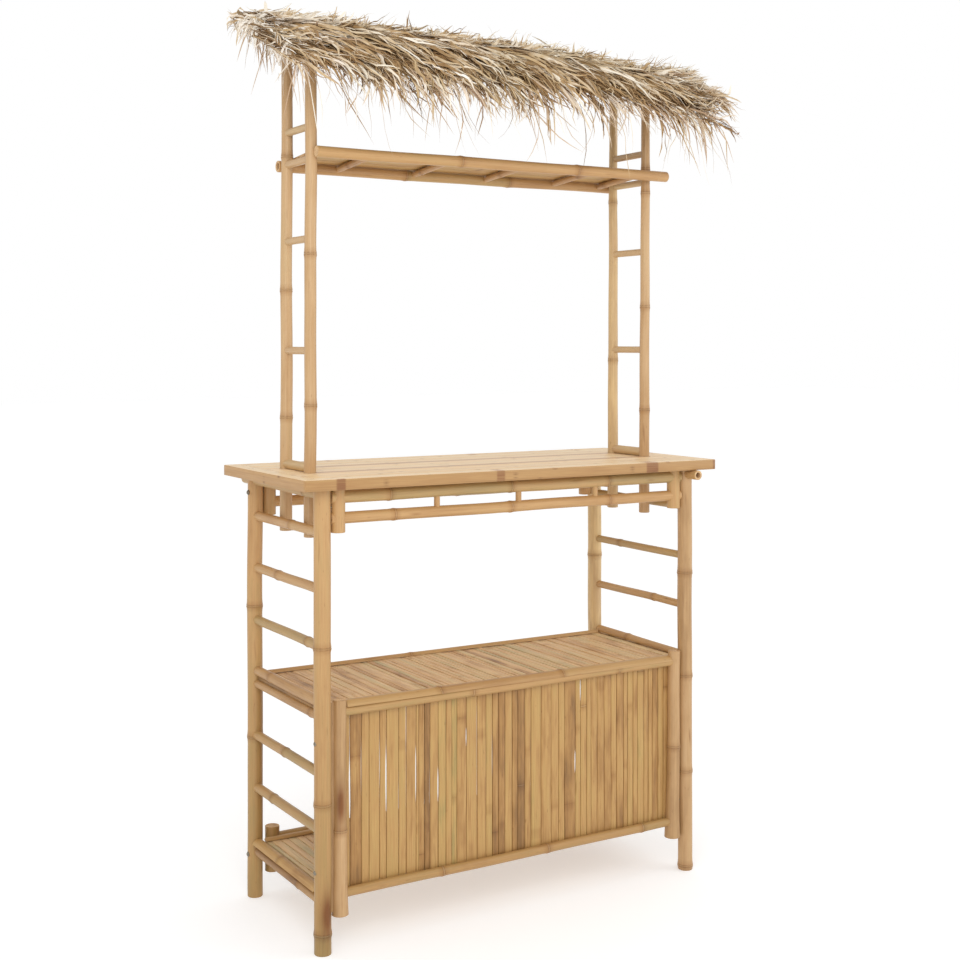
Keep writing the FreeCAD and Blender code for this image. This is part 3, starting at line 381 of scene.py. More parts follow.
# %% Build the strip pattern and the planed finish
STAIN_WIDTH = 0.011
strips, chosen, given = new_group("glued_strips", {"Strip Width": 0.0165, "Mark Spacing": 0.34},
                                  ("Strip", "Seam", "Mark"))
grain = add_node(strips, "ShaderNodeUVMap", uv_map="grain").outputs[0]
board_uv = add_node(strips, "ShaderNodeSeparateXYZ", {"Vector": grain}).outputs
across = maths(strips, "DIVIDE", board_uv["X"], chosen["Strip Width"])
number = maths(strips, "FLOOR", across, 0)
chance = add_node(strips, "ShaderNodeTexWhiteNoise", {"W": number}, noise_dimensions="1D").outputs["Value"]
along = maths(strips, "ADD", maths(strips, "DIVIDE", board_uv["Y"], chosen["Mark Spacing"]), chance)
along = maths(strips, "ADD", along, maths(strips, "MULTIPLY", chance, 7.3))
for label, value in {
    "Strip": chance,
    "Seam": ramp(strips, maths(strips, "PINGPONG", across, 0.5), 0.0, 0.035, 1, 0),
    "Mark": ramp(strips, maths(strips, "PINGPONG", along, 0.5), 0.0, 0.028, 1, 0),
}.items():
    strips.links.new(value, given[label])


def planed_finish(name, stops):
    """Make a planed, glued bamboo material."""
    material, tree, shader = start_material(name)
    seen = add_node(tree, "ShaderNodeGroup", node_tree=figure).outputs
    parts = add_node(tree, "ShaderNodeGroup", node_tree=strips).outputs
    place = maths(tree, "ADD", maths(tree, "MULTIPLY", parts["Strip"], 0.6),
                  maths(tree, "MULTIPLY", seen["Cloud"], 0.4))
    stain = ramp(tree, attribute(tree, "knot"), STAIN_WIDTH * 0.8, STAIN_WIDTH * 1.2, 1, 0)
    patchy = ramp(tree, seen["Vein"], 0.35, 0.65, 0.35, 0.75)
    spotted = ramp(tree, seen["Vein"], 0.42, 0.62, 0, 0.6)
    base = shaded(tree, colour_ramp(tree, place, stops), (
        ("ab8458", ramp(tree, seen["Fibre"], 0.35, 0.8, 0, 0.4), 1),
        ("9a7548", parts["Seam"], 0.25),
        ("8a6340", maths(tree, "MULTIPLY", parts["Mark"], spotted), 1),
        ("ad7d66", maths(tree, "MULTIPLY", stain, patchy), 1)))
    dress_shader(tree, shader, base, seen, (0.36, 0.50), (0.15, 0.0003))
    return material


# The sides of the frame take darker copies of the boards' finish: partly the darker figure of a board's side,
# partly painted shade on faces that turn away from the light. The front's copy is darker still, which is
# painted shade.
planed, shaded_edge_planed, shaded_front_planed = (
    planed_finish(name, list(zip((0.0, 0.35, 0.65, 1.0), shades))) for name, *shades in (
        ("planed_boards", "e6be88", "f3d3a3", "f9e0b6", "e8bb86"),
        ("planed_edges_shaded", "96703f", "b08653", "c39a64", "a67644"),
        ("planed_front_shaded", "8e693b", "a67e4d", "b8915e", "9e6f3f")))
print("strip pattern:", len(strips.nodes), "nodes")

# %% [markdown]
# A sawn end shows pale flesh with dark fibre dots, and the steel is dull, worn zinc. Both read Object
# coordinates, because an end has no grain direction of its own. Two CAD nodes stay in view under the
# counter and the roof. They have no UV map, so their split bamboo is drawn in Object coordinates too,
# stretched along the way that the battens run.

# %% Mix the sawn ends, the steel and the hidden battens
sawn, tree, shader = start_material("sawn_end", Roughness=0.75)
base = colour_ramp(tree, object_noise(tree, 60), [(0.3, "b98f62"), (0.6, "dcb98b")])
dots = ramp(tree, object_noise(tree, 900), 0.5, 0.7, 0, 0.8)
feed(tree, shader.inputs["Base Color"], mixed(tree, base, "8d6942", dots))

zinc, tree, shader = start_material("zinc_steel", Metallic=1.0)
wear = object_noise(tree, 350, 3)
feed(tree, shader.inputs["Base Color"], colour_ramp(tree, wear, [(0.3, "6f675a"), (0.7, "a59d8e")]))
feed(tree, shader.inputs["Roughness"], ramp(tree, wear, 0.3, 0.7, 0.3, 0.55))


def dress_battens(node, name, stretch):
    """Give a CAD node split bamboo, with the grain along the direction that is stretched least."""
    material, tree, shader = start_material(name, Roughness=0.55)
    place = add_node(tree, "ShaderNodeTexCoord").outputs["Object"]
    fibre = figure_noise(tree, place, stretch, 3, 0.5)
    feed(tree, shader.inputs["Base Color"],
         colour_ramp(tree, fibre, [(0.3, "9d7a4e"), (0.55, "c7a26d"), (0.8, "d8b784")]))
    add_relief(tree, shader, fibre, 0.3, 0.0005)
    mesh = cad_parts[node].data
    mesh.materials.clear()
    mesh.materials.append(material)
    print(f"{node}: {name}")


dress_battens("roof_lattice", "battens_along_x", (6, 500, 500))
dress_battens("tabletop_battens", "battens_along_y", (500, 6, 500))

# %% [markdown]
# A culm is a turned shape, so its outline is drawn once, from the hollow of one sawn end over the skin
# and its knots to the other end, and spun about its axis. A knot is a low double ridge with a groove.
# A cylinder with a bump texture would be quicker, but its edge against the white room would stay
# straight, and the knots are what makes it bamboo.

# %% Draw the outline of a culm and spin it
SIDES = 28
WALL = 0.005
BORE = 0.030
EDGE_ROUNDING = 0.0009
RING_STEP = 0.04
FINE_RING_STEP = RING_STEP / 5
END_MARGIN = 0.004
KNOT_SHAPE = ((-0.016, 0.0), (-0.007, 0.35), (-0.0026, 1.0), (-0.0010, 1.05), (0.0, 0.3),
              (0.0010, 0.85), (0.0032, 0.75), (0.008, 0.28), (0.018, 0.0))


def end_outline(radius, is_open):
    """List the outline of a culm's end, from its middle out to the skin."""
    if is_open:
        return [(0, BORE), (radius - WALL, BORE), (radius - WALL, EDGE_ROUNDING),
                (radius - WALL + EDGE_ROUNDING, 0), (radius - EDGE_ROUNDING, 0), (radius, EDGE_ROUNDING)]
    return [(0, 0), (radius - EDGE_ROUNDING, 0), (radius, EDGE_ROUNDING)]


def culm_outline(length, radius, knots, open_start, open_end, rise, ring_step):
    """List the (radius, height) points of a culm's outline, from its start to its end."""
    heights = {}
    for knot in knots:
        for offset, share in KNOT_SHAPE:
            if END_MARGIN < knot + offset < length - END_MARGIN:
                heights[round(knot + offset, 6)] = share * rise
    step_count = max(1, round(length / ring_step))
    for step in range(1, step_count):
        height = length * step / step_count
        if all(abs(height - other) > ring_step * 0.3 for other in heights):
            heights[height] = 0.0
    last = [(r, length - z) for r, z in reversed(end_outline(radius, open_end))]
    return end_outline(radius, open_start) + [(radius + heights[z], z) for z in sorted(heights)] + last


def spin_outline(points, sides):
    """Spin (radius, height) points about Z into a closed shape that faces outwards."""
    shape = bmesh.new()
    outline = [shape.verts.new((r, 0, z)) for r, z in points]
    edges = [shape.edges.new(pair) for pair in zip(outline, outline[1:])]
    bmesh.ops.spin(shape, geom=outline + edges, cent=(0, 0, 0), axis=(0, 0, 1), dvec=(0, 0, 0),
                   angle=math.tau, steps=sides, use_merge=True)
    bmesh.ops.remove_doubles(shape, verts=shape.verts, dist=1e-6)
    bmesh.ops.recalc_face_normals(shape, faces=shape.faces)
    return shape


print("a knot has", len(KNOT_SHAPE), "rings of", SIDES, "points")

# %% [markdown]
# Real culms are never quite straight or round. Modifiers could bend a finished culm, but then its UV map
# and knots would have to follow. Here the rings are pushed aside by a smooth noise straight after the
# spin, and the same loop writes the tone of each joint and the distance to the nearest knot, which the
# finishes read.

# %% Grow a culm
LEG_THICKNESS = 0.037
KNOT_RISE = 0.0017
FAR_FROM_KNOTS = 1.0
BEND = 0.0011
OVAL = 0.012
SWELL = 0.012
chances = random.Random(7)


def add_grain_layers(shape):
    """Add the layers that the bamboo finishes read, and draw a random place on the grain."""
    grain = shape.loops.layers.uv.new("grain")
    tone_layer = shape.verts.layers.float.new("tone")
    knot_layer = shape.verts.layers.float.new("knot")
    return grain, tone_layer, knot_layer, Vector((chances.uniform(0, 40), chances.uniform(0, 40)))


def nearest_knot(place, knots):
    """Give the distance from a place on the grain to the nearest knot."""
    return min([abs(place - knot) for knot in knots], default=FAR_FROM_KNOTS)


def spin_culm(length, diameter, knots=(), open_start=False, open_end=False, taper=1.0, sway=1.0, tone=None,
              joints=None, foot_flare=0.0, fine=False):
    """Turn one culm along +Z and give it its grain, tone and knot distances."""
    radius = diameter / 2
    rise = KNOT_RISE * (diameter / LEG_THICKNESS) ** 0.5
    shape = spin_outline(culm_outline(length, radius, knots, open_start, open_end, rise,
                                      FINE_RING_STEP if fine else RING_STEP), SIDES)
    grain, tone_layer, knot_layer, shift = add_grain_layers(shape)
    own_tone = chances.gauss(0.48, 0.13) if tone is None else tone
    drawn = [own_tone + chances.gauss(0, 0.09) for _ in range(len(knots) + 1)]
    joint_tones = joints or drawn
    for face in shape.faces:
        middle = face.calc_center_median()
        face.material_index = int(math.hypot(middle.x, middle.y) < radius - EDGE_ROUNDING)
        face.smooth = True
        turn = math.atan2(middle.y, middle.x)
        for loop in face.loops:
            angle = math.atan2(loop.vert.co.y, loop.vert.co.x)
            if abs(angle - turn) > math.pi:
                angle += math.copysign(math.tau, turn)
            loop[grain].uv = Vector((angle * radius, loop.vert.co.z)) + shift
    seed = chances.uniform(0, 100)
    amount = BEND * sway * min(1.0, length / 0.5)
    for vert in shape.verts:
        height = vert.co.z
        vert[tone_layer] = joint_tones[sum(height > knot for knot in knots)]
        vert[knot_layer] = nearest_knot(height, knots)
        share = height / length
        held = math.sin(math.pi * share) ** 0.5 if 0 < share < 1 else 0
        oval = 1 + OVAL * math.cos(2 * math.atan2(vert.co.y, vert.co.x) + seed)
        width = oval * (1 + (taper - 1) * share + foot_flare * math.exp(-6 * share))
        width *= 1 + SWELL * noise.noise(Vector((height * 9, seed, 0)))
        vert.co.x *= width
        vert.co.y *= width
        vert.co.x += amount * held * 2 * noise.noise(Vector((height * 4, seed, 3)))
        vert.co.y += amount * held * 2 * noise.noise(Vector((height * 4, seed, 9)))
    return shape


print("a culm bends by up to", 2 * BEND, "m")

# %% [markdown]
# A piece of the bar, such as a row of rungs, is often several culms. Each is made at the origin along
# +Z, moved by one matrix and added to the piece's bmesh, so that the finished object itself stays at
# the origin, where the CAD nodes are too. The last helper then hides the CAD node that the piece replaces.

# %% Define how parts become a piece
scratch = bpy.data.meshes.new("scratch")


def add_part(piece, part, matrix=None):
    """Add a part to a piece, moved by a matrix if there is one."""
    if matrix is not None:
        bmesh.ops.transform(part, matrix=matrix, verts=part.verts)
    part.to_mesh(scratch)
    part.free()
    piece.from_mesh(scratch)


def add_along(piece, part, start, direction, turn=0.0):
    """Add a part that lies along +Z at a start and in a direction."""
    turned = Vector(direction).normalized().to_track_quat("Z", "Y").to_matrix().to_4x4()
    add_part(piece, part, Matrix.Translation(start) @ turned @ Matrix.Rotation(turn, 4, "Z"))


def add_culm(piece, start, end, diameter, **facts):
    """Grow a culm between two points and add it to a piece."""
    start, end = Vector(start), Vector(end)
    part = spin_culm((end - start).length, diameter, **facts)
    add_along(piece, part, start, end - start, chances.uniform(0, math.tau))


def finish_piece(name, piece, node, materials=(skin, sawn), sharp=40):
    """Turn a bmesh into a named piece that rides on the bar and stands for its CAD node."""
    mesh = to_mesh(name, piece)
    for material in materials:
        mesh.materials.append(material)
    mesh.set_sharp_from_angle(angle=math.radians(sharp))
    made = add_object(name, mesh)
    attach(made, "root")
    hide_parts(node)
    print(f"{name}: {len(mesh.polygons)} faces")


# %% [markdown]
# Slats, battens and boards all start as a cube between two corners, with bevelled edges, because a
# sharp edge catches no light. A slat is also cut into short lengths, so that its long edges can bow in a
# little: where two neighbours do, a thin slit of light shows.

# %% Define a board
def grain_along(part, axis, tone, knots=()):
    """Give a straight part its grain UV along one axis, its tone and its knot distances."""
    grain, tone_layer, knot_layer, shift = add_grain_layers(part)
    others = [other for other in range(3) if other != axis]
    for face in part.faces:
        for loop in face.loops:
            co = loop.vert.co
            loop[grain].uv = Vector((co[others[0]] + co[others[1]], co[axis])) + shift
    for vert in part.verts:
        vert[tone_layer] = tone
        vert[knot_layer] = nearest_knot(vert.co[axis], knots)


def ease_edges(part, rounding, axis, length, cuts):
    """Bevel a block's edges, then cut its long edges into short lengths and smooth it."""
    bmesh.ops.bevel(part, geom=list(part.edges), offset=rounding, segments=2, profile=0.5, affect="EDGES",
                    material=-1)
    if cuts:
        long_edges = [edge for edge in part.edges
                      if abs(edge.verts[0].co[axis] - edge.verts[1].co[axis]) > length / 2]
        bmesh.ops.subdivide_edges(part, edges=long_edges, cuts=cuts, use_grid_fill=True)
    for face in part.faces:
        face.smooth = True


def bow_edges(part, low, high, axis, bow):
    """Push the long edges of a slat in by a noise."""
    size = high - low
    across = max((other for other in range(3) if other != axis), key=lambda other: size[other])
    middle = (low[across] + high[across]) / 2
    seeds = chances.uniform(0, 99), chances.uniform(0, 99)
    for vert in part.verts:
        side = 1 if vert.co[across] > middle else -1
        share = (vert.co[axis] - low[axis]) / size[axis]
        wave = noise.noise(Vector((share * 3.1, seeds[side > 0], 0.5)))
        vert.co[across] -= side * bow * max(0.0, wave + 0.15) * math.sin(math.pi * share)


def board(low, high, axis, rounding, cuts, tone, knots=(), bow=0.0):
    """Make one slat or board between two corners, with its grain along an axis."""
    low, high = Vector(low), Vector(high)
    part = bmesh.new()
    bmesh.ops.create_cube(part, size=1)
    bmesh.ops.scale(part, vec=high - low, verts=part.verts)
    bmesh.ops.translate(part, vec=(low + high) / 2, verts=part.verts)
    ease_edges(part, rounding, axis, (high - low)[axis], cuts)
    for face in part.faces:
        face.material_index = int(abs(face.normal[axis]) > 0.9)
    grain_along(part, axis, tone, knots)
    if bow:
        bow_edges(part, low, high, axis, bow)
    return part


# %% [markdown]
# The legs and posts are single culms. Each takes its place from the box of the CAD node that it stands
# for, so only its thickness, its knots and its lean are written here. The real ones lean by a few
# millimetres, and that, more than their surface, is what makes the bar look handmade.

# %% List the upright culms
# Each upright: its thickness, the heights of its knots above the floor, and how far its foot and its top
# stand off the CAD axis in x
UPRIGHTS = {
    "left_front_leg": (0.0382, (0.045, 0.330, 0.675), 0.0, -0.0022),
    "left_rear_leg": (0.0372, (0.389, 0.708), 0.0, 0.0),
    "right_front_leg": (0.0370, (0.012, 0.253, 0.497, 0.761), 0.002, 0.0),
    "right_rear_leg": (0.0375, (0.455, 0.758), 0.0015, -0.0045),
    "left_front_post": (0.0280, (1.205, 1.552), 0.0, 0.0025),
    "left_rear_post": (0.0292, (1.172, 1.473, 1.790), 0.001, 0.0030),
    "right_front_post": (0.0278, (1.173, 1.443, 1.742, 1.805), -0.0070, -0.0025),
    "right_rear_post": (0.0292, (1.302, 1.729), -0.0070, -0.0040),
    "front_panel_left_post": (0.0305, (0.266,), 0.002, 0.0010),
    "front_panel_right_post": (0.0310, (0.320,), 0.000, 0.0065),
    **{f"{group}_{side}_stile": (diameter, (), 0.0, 0.0)
       for group, diameter in (("front_apron", 0.033), ("rear_apron", 0.033), ("rear_stretcher", 0.035))
       for side in ("left", "right")},
}
TAPERS = {"right_rear_post": 0.72, "right_front_post": 0.80, "left_rear_post": 0.88, "left_front_post": 0.96}
FOOT_FLARES = {"front_panel_left_post": 0.24, "front_panel_right_post": 0.30}
# How far the foot and the top of an upright stand above the CAD ones
RISES = {"front_panel_right_post": (0.011, 0.007),
         **{name: (0.0002, 0.0) for name in UPRIGHTS if name.endswith("leg")}}
LEG_TOP = COUNTER - 0.0255
# The tone of a whole culm, from 0, green-grey, to 1, brown, where the photograph shows it
# The right rear leg's tone of 0 is the palest stop of the pale skin, a painted light that lifts the counter's
# shade
TONES = {"front_panel_left_post": 0.84, "front_panel_right_post": 0.86, "left_front_leg": 0.5,
         "right_rear_leg": 0.0, "left_rear_leg": 0.4, "right_front_leg": 0.80, "left_rear_post": 0.55,
         "front_panel_top_rail": 0.4, "front_panel_bottom_rail": 0.5, "rack_front_rail": 0.5,
         "rack_rear_rail": 0.55, "front_apron_upper_rail": 0.22, "front_apron_lower_rail": 0.58,
         "front_apron_left_stile": 0.42}
# The tone of each joint, from the foot up, where the photograph shows it
JOINTS = {"left_front_leg": (0.05, 0.36, 0.50, 0.46), "left_rear_leg": (0.30, 0.42, 0.52),
          "front_panel_left_post": (0.72, 0.90), "right_rear_post": (0.20, 0.24, 0.18)}
# Each scorch mark: its middle, its half height and its half width
SCORCHES = {"left_front_leg": (at(-0.5040, -0.2156, 0.090), 0.046, 0.014),
            "front_panel_left_post": (at(-0.4705, -0.2125, 0.327), 0.040, 0.0095)}
print("uprights:", len(UPRIGHTS))

# %% [markdown]
# A culm is straightened over a flame, which leaves a scorch mark here and there. A mark sits in one
# place on one culm, so it is stored at the points near it as a soft spot that the finish reads. Those
# culms get closer rings, or the spot would look like a few coarse facets.

# %% Grow the upright culms
SCORCH_STRENGTH = 1.3


def scorch(piece, middle, half_height, half_width):
    """Mark the skin near a point as scorched, in a tall soft patch."""
    layer = piece.verts.layers.float.new("scorch")
    for vert in piece.verts:
        off = vert.co - middle
        share = (off.z / half_height) ** 2 + (off.x ** 2 + off.y ** 2) / half_width ** 2
        vert[layer] = min(1.0, SCORCH_STRENGTH * math.exp(-share))


for name, (diameter, heights, foot_off, top_off) in UPRIGHTS.items():
    low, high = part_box(name)
    foot_rise, top_rise = RISES.get(name, (0.0, 0.0))
    low.z += foot_rise
    high.z += top_rise
    x, y = (low.x + high.x) / 2, (low.y + high.y) / 2
    top = LEG_TOP if name.endswith("leg") else high.z
    piece = bmesh.new()
    add_culm(piece, (x + foot_off, y, low.z), (x + top_off, y, top), diameter,
             knots=[height - low.z for height in heights], open_start=True, taper=TAPERS.get(name, 1.0),
             foot_flare=FOOT_FLARES.get(name, 0.0), tone=TONES.get(name), joints=JOINTS.get(name),
             fine=name in SCORCHES, sway=1.4 if "leg" in name or "post" in name else 0.6)
    if name in SCORCHES:
        scorch(piece, *SCORCHES[name])
    if name == "front_panel_left_post":
        # A thin lath of the darkest tone fills the gap between the post and the leg, as painted shade where
        # the two meet
        add_part(piece, board(at(-0.4890, -0.2000, low.z + 0.01), at(-0.4780, -0.1940, high.z - 0.004),
                              2, 0.001, 0, 1.0))
    # The right rear leg takes the pale skin as painted light, because it stands in the counter's shade
    pale = name in ("right_rear_leg", "right_front_leg") or name.endswith("post")
    finish_piece(f"{name}_culm", piece, name, (pale_skin if pale else skin, sawn))

# %% [markdown]
# The rails run along the counter, between the stiles, posts or legs that carry them. The ends of the
# rack's rails come from the CAD boxes; the others run on into the wood that holds them, so that no gap
# can open. The panel's two rails slope a little, as in the photograph.

# %% Grow the rails that run along the counter
# Each rail: its thickness, its knots right of the middle, and how far it reaches left and right of it
RAILS = {
    "front_apron_upper_rail": (0.0285, (-0.344, -0.021, 0.262), 0.4892, 0.4892),
    "front_apron_lower_rail": (0.026, (-0.332, -0.020, 0.265), 0.4892, 0.4892),
    "rear_apron_upper_rail": (0.025, (-0.120, 0.210), 0.470, 0.470),
    "rear_apron_lower_rail": (0.026, (-0.270, 0.060), 0.470, 0.470),
    "front_panel_top_rail": (0.0215, (-0.125, 0.295), 0.467, 0.467),
    "front_panel_bottom_rail": (0.021, (-0.206, 0.085, 0.368), 0.467, 0.467),
    "rack_front_rail": (0.027, (-0.100, 0.241), None, None),
    "rack_rear_rail": (0.027, (-0.147, 0.157), None, None),
}
# How far the left and the right end of a rail stand above the CAD axis
TILTS = {"front_panel_top_rail": (-0.0035, 0.0045), "front_panel_bottom_rail": (0.0, 0.005)}
for name, (diameter, places, left, right) in RAILS.items():
    low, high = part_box(name)
    middle = (low + high) / 2
    start = low.x if left is None else MIDDLE.x - left
    end = high.x if right is None else MIDDLE.x + right
    y = MIDDLE.y - LEG_Y if "panel" in name else middle.y
    left_rise, right_rise = TILTS.get(name, (0, 0))
    piece = bmesh.new()
    add_culm(piece, (start, y, middle.z + left_rise), (end, y, middle.z + right_rise), diameter,
             knots=[MIDDLE.x + place - start for place in places], tone=TONES.get(name),
             open_start=name == "rack_rear_rail", open_end=right is None)
    finish_piece(f"{name}_culm", piece, name)

# %% [markdown]
# Each side is a ladder: seven rungs between two legs, with a hollow rail across the top. Two rungs carry
# the shelves and stay straight. The others have their own thickness on each side, are placed by their
# tops and bend a little more, because nothing rests on them.

# %% Grow the side rails and the rungs
RUNG_END = 0.0055
LEVELS = [0.113, 0.267, 0.3935, 0.520, 0.674, 0.8005, 0.927]
SHELF_RUNGS = (0, 3)
SHELF_RUNG_THICKNESS = 0.020
RUNG_TOP = 0.012
RUNG_KNOTS = (0.12, 0.27, 0.20, 0.05, 0.07, 0.24, 0.16)
RAIL_THICKNESS = 0.024

# Each side: its direction, the thickness of its rungs, the knot of its top rail and its first rung's knot
SIDES_OF_BAR = (("left", -1, 0.022, 0.10, 0), ("right", 1, 0.019, 0.36, 3))
for side, sign, diameter, top_knot, first_knot in SIDES_OF_BAR:
    low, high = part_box(f"{side}_side_top_rail")
    middle = (low + high) / 2
    piece = bmesh.new()
    add_culm(piece, (middle.x, low.y, middle.z), (middle.x, high.y, middle.z), RAIL_THICKNESS,
             knots=(top_knot,), open_start=True, open_end=True)
    finish_piece(f"{side}_side_top_rail_culm", piece, f"{side}_side_top_rail")
    piece = bmesh.new()
    reach = LEG_Y - RUNG_END
    for index, level in enumerate(LEVELS):
        carries = index in SHELF_RUNGS
        height = level if carries else level + RUNG_TOP - diameter / 2
        add_culm(piece, at(sign * LEG_X, -reach, height), at(sign * LEG_X, reach, height),
                 SHELF_RUNG_THICKNESS if carries else diameter,
                 knots=(RUNG_KNOTS[(index + first_knot) % len(RUNG_KNOTS)],), sway=1.0 if carries else 2.0)
    finish_piece(f"{side}_side_rung_culms", piece, f"{side}_side_rungs")

# %% [markdown]
# Short culms join the long ones: rungs between the leaning posts, pegs between the apron's rails and
# the two rails of the rear stretcher. A rung's place is worked out from the lean of its posts, so that
# it still ends inside them.

# %% Grow the ladder rungs, the pegs and the stretcher rails
POST_X = 0.4812
POST_Y = 0.07025
POST_FOOT = 0.903
POST_TOP = 2.0
# Each ladder rung: its height and its thickness
LADDER = ((1.0613, 0.022), (1.330, 0.0175), (1.5875, 0.0175), (1.770, 0.0175), (1.845, 0.0175))
LADDER_REACH = POST_Y - 0.0055
for side, sign in (("left", -1), ("right", 1)):
    foot_off, top_off = UPRIGHTS[f"{side}_front_post"][2:]
    piece = bmesh.new()
    for height, diameter in LADDER:
        x = sign * POST_X + foot_off + (top_off - foot_off) * (height - POST_FOOT) / (POST_TOP - POST_FOOT)
        add_culm(piece, at(x, -LADDER_REACH, height), at(x, LADDER_REACH, height), diameter, sway=0, tone=0.4)
    finish_piece(f"{side}_post_rung_culms", piece, f"{side}_post_rungs", (pale_skin, sawn))

PEG_PLACES = (-0.219, 0.0035, 0.226)
PEG_THICKNESS = 0.014
for end in ("front", "rear"):
    low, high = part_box(f"{end}_apron_pegs")
    piece = bmesh.new()
    for place in PEG_PLACES:
        x, y = MIDDLE.x + place, (low.y + high.y) / 2
        add_culm(piece, (x, y, low.z), (x, y, high.z), PEG_THICKNESS, sway=0)
    finish_piece(f"{end}_apron_peg_culms", piece, f"{end}_apron_pegs")

STRETCHER_X = 0.4625
piece = bmesh.new()
for height, knots in ((0.1335, (0.25, 0.62)), (0.074, (0.41, 0.77))):
    add_culm(piece, at(-STRETCHER_X, LEG_Y, height), at(STRETCHER_X, LEG_Y, height), RAIL_THICKNESS,
             knots=knots)
finish_piece("rear_stretcher_rail_culms", piece, "rear_stretcher_rails")

# %% [markdown]
# The slats of the front panel are split from culms, so each has its own width, tone and knots. One wide
# board with a stripe texture would be simpler, but light shows through real gaps. The seven clearest
# slits in the photograph have their own places: the two slats beside each are hollowed towards it.

# %% Nail the slats of the front panel
# Each slit between two slats: its place right of the middle, its height and its half length
SLITS = [(-0.4360, 0.346, 0.058), (-0.3445, 0.352, 0.064), (-0.2678, 0.358, 0.060), (-0.2101, 0.324, 0.035),
         (-0.1344, 0.423, 0.020), (0.1750, 0.322, 0.024), (0.1910, 0.495, 0.027)]
SLIT_DEPTH = 0.0012
WIDTH_SPREAD = 0.4
PANEL_SLAT = 0.0215
SLAT_GROOVE = 0.008
TRIM_LEVEL = 0.5395


def slat_widths(total, average):
    """Split a length into random widths that add up to it."""
    widths = []
    while sum(widths) < total - average / 2:
        widths.append(average * chances.uniform(1 - WIDTH_SPREAD, 1 + WIDTH_SPREAD))
    scale = total / sum(widths)
    return [width * scale for width in widths]


def slat_tone(x):
    """Give the usual tone of a slat: the middle ones are the brownest."""
    return 0.42 + 0.24 * math.exp(-((x - MIDDLE.x) / 0.13) ** 2)


low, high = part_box("front_panel_slats")
low.x -= SLAT_GROOVE
high.x += 2 * SLAT_GROOVE
high.z = TRIM_LEVEL - 0.0005
joints = np.concatenate([[low.x], low.x + np.cumsum(slat_widths(high.x - low.x, PANEL_SLAT))])
slit_at = {}
for place, height, half in SLITS:
    index = int(np.abs(joints - MIDDLE.x - place).argmin())
    joints[index] = MIDDLE.x + place
    slit_at[index] = (height, half)
piece = bmesh.new()
for index, (left, right) in enumerate(zip(joints, joints[1:])):
    gap = chances.uniform(0.0001, 0.0006)
    knots = [chances.uniform(low.z, high.z)] if chances.random() < 0.5 else []
    shallow = chances.uniform(0, 0.0012)
    tone = min(0.84, max(0.1, chances.gauss(slat_tone(left), 0.18)))
    part = board((left + gap, low.y + shallow, low.z), (right - gap, high.y, high.z), 2, 0.0018, 24, tone,
                 knots, bow=0.0012)
    for side, slit in ((-1, slit_at.get(index)), (1, slit_at.get(index + 1))):
        if slit:
            for vert in part.verts:
                if side * (vert.co.x - (left + right) / 2) > 0:
                    vert.co.x -= side * SLIT_DEPTH * math.exp(-((vert.co.z - slit[0]) / slit[1]) ** 4)
    add_part(piece, part)
finish_piece("front_panel_slat_row", piece, "front_panel_slats", (split, sawn))

# %% [markdown]
# Both shelves are made alike: three battens lie on the shelf rungs, with a darker packing strip under each end
# of the slats, and the slats lie across them. The packing strips close the gap between rung and border as a
# dark line of painted shade. One loop lays the battens of both, another the slats. The slats sink by different
# amounts and stop unevenly at the rear, which gives the thin dark lines.

# %% Lay the battens and the slats of both shelves
BATTEN_PLACES = (-0.120, 0.0, 0.120)
BATTEN_REACH = 0.506
BATTEN_HALF = 0.0125
BATTEN_ROUNDING = 0.001
PACKING_HALF = 0.006
PACKING_X = 0.503
SHELF_DEPTH = 0.174
SHELF_SLAT = 0.0175
TRIM_BACK = 0.008
for shelf in ("middle", "bottom"):
    low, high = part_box(f"{shelf}_shelf_battens")
    piece = bmesh.new()
    for y in BATTEN_PLACES:
        start, end = at(-BATTEN_REACH, y - BATTEN_HALF, low.z), at(BATTEN_REACH, y + BATTEN_HALF, high.z)
        add_part(piece, board(start, end, 0, BATTEN_ROUNDING, 0, 0.6))
    # The packing strips take a darker tone: painted shade where the border meets the rung
    for x in (-PACKING_X, PACKING_X):
        start, end = at(x - PACKING_HALF, -SHELF_DEPTH, low.z), at(x + PACKING_HALF, SHELF_DEPTH, high.z)
        add_part(piece, board(start, end, 1, BATTEN_ROUNDING, 0, 0.9))
    finish_piece(f"{shelf}_shelf_batten_set", piece, f"{shelf}_shelf_battens", (split, sawn))

for shelf, front_gap in (("middle", TRIM_BACK), ("bottom", 0)):
    low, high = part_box(f"{shelf}_shelf_slats")
    piece = bmesh.new()
    x = low.x
    for width in slat_widths(high.x - low.x, SHELF_SLAT):
        gap = chances.uniform(0.0003, 0.0017)
        sunk = chances.uniform(0, 0.0022)
        knots = [chances.uniform(low.y, high.y)] if chances.random() < 0.5 else []
        short = chances.uniform(0, 0.004)
        tone = min(0.82, max(0, chances.gauss(0.5, 0.2)))
        start, end = (x + gap, low.y + front_gap, low.z), (x + width - gap, high.y - short, high.z - sunk)
        add_part(piece, board(start, end, 1, 0.0010, 9, tone, knots, bow=0.0020))
        x += width
    # The shelf slats take the lightened finish: painted light in the shade under the counter and the middle
    # shelf
    finish_piece(f"{shelf}_shelf_slat_row", piece, f"{shelf}_shelf_slats",
                 (lightened_shelf_split, sawn))

# %% [markdown]
# The shelf borders and trims are culms too: two round poles at the ends of the middle shelf, and split
# ones with a flat underside elsewhere. A split culm is made the way that it is in the workshop: a whole
# one is cut along by a plane, and the open side is closed again with one face.

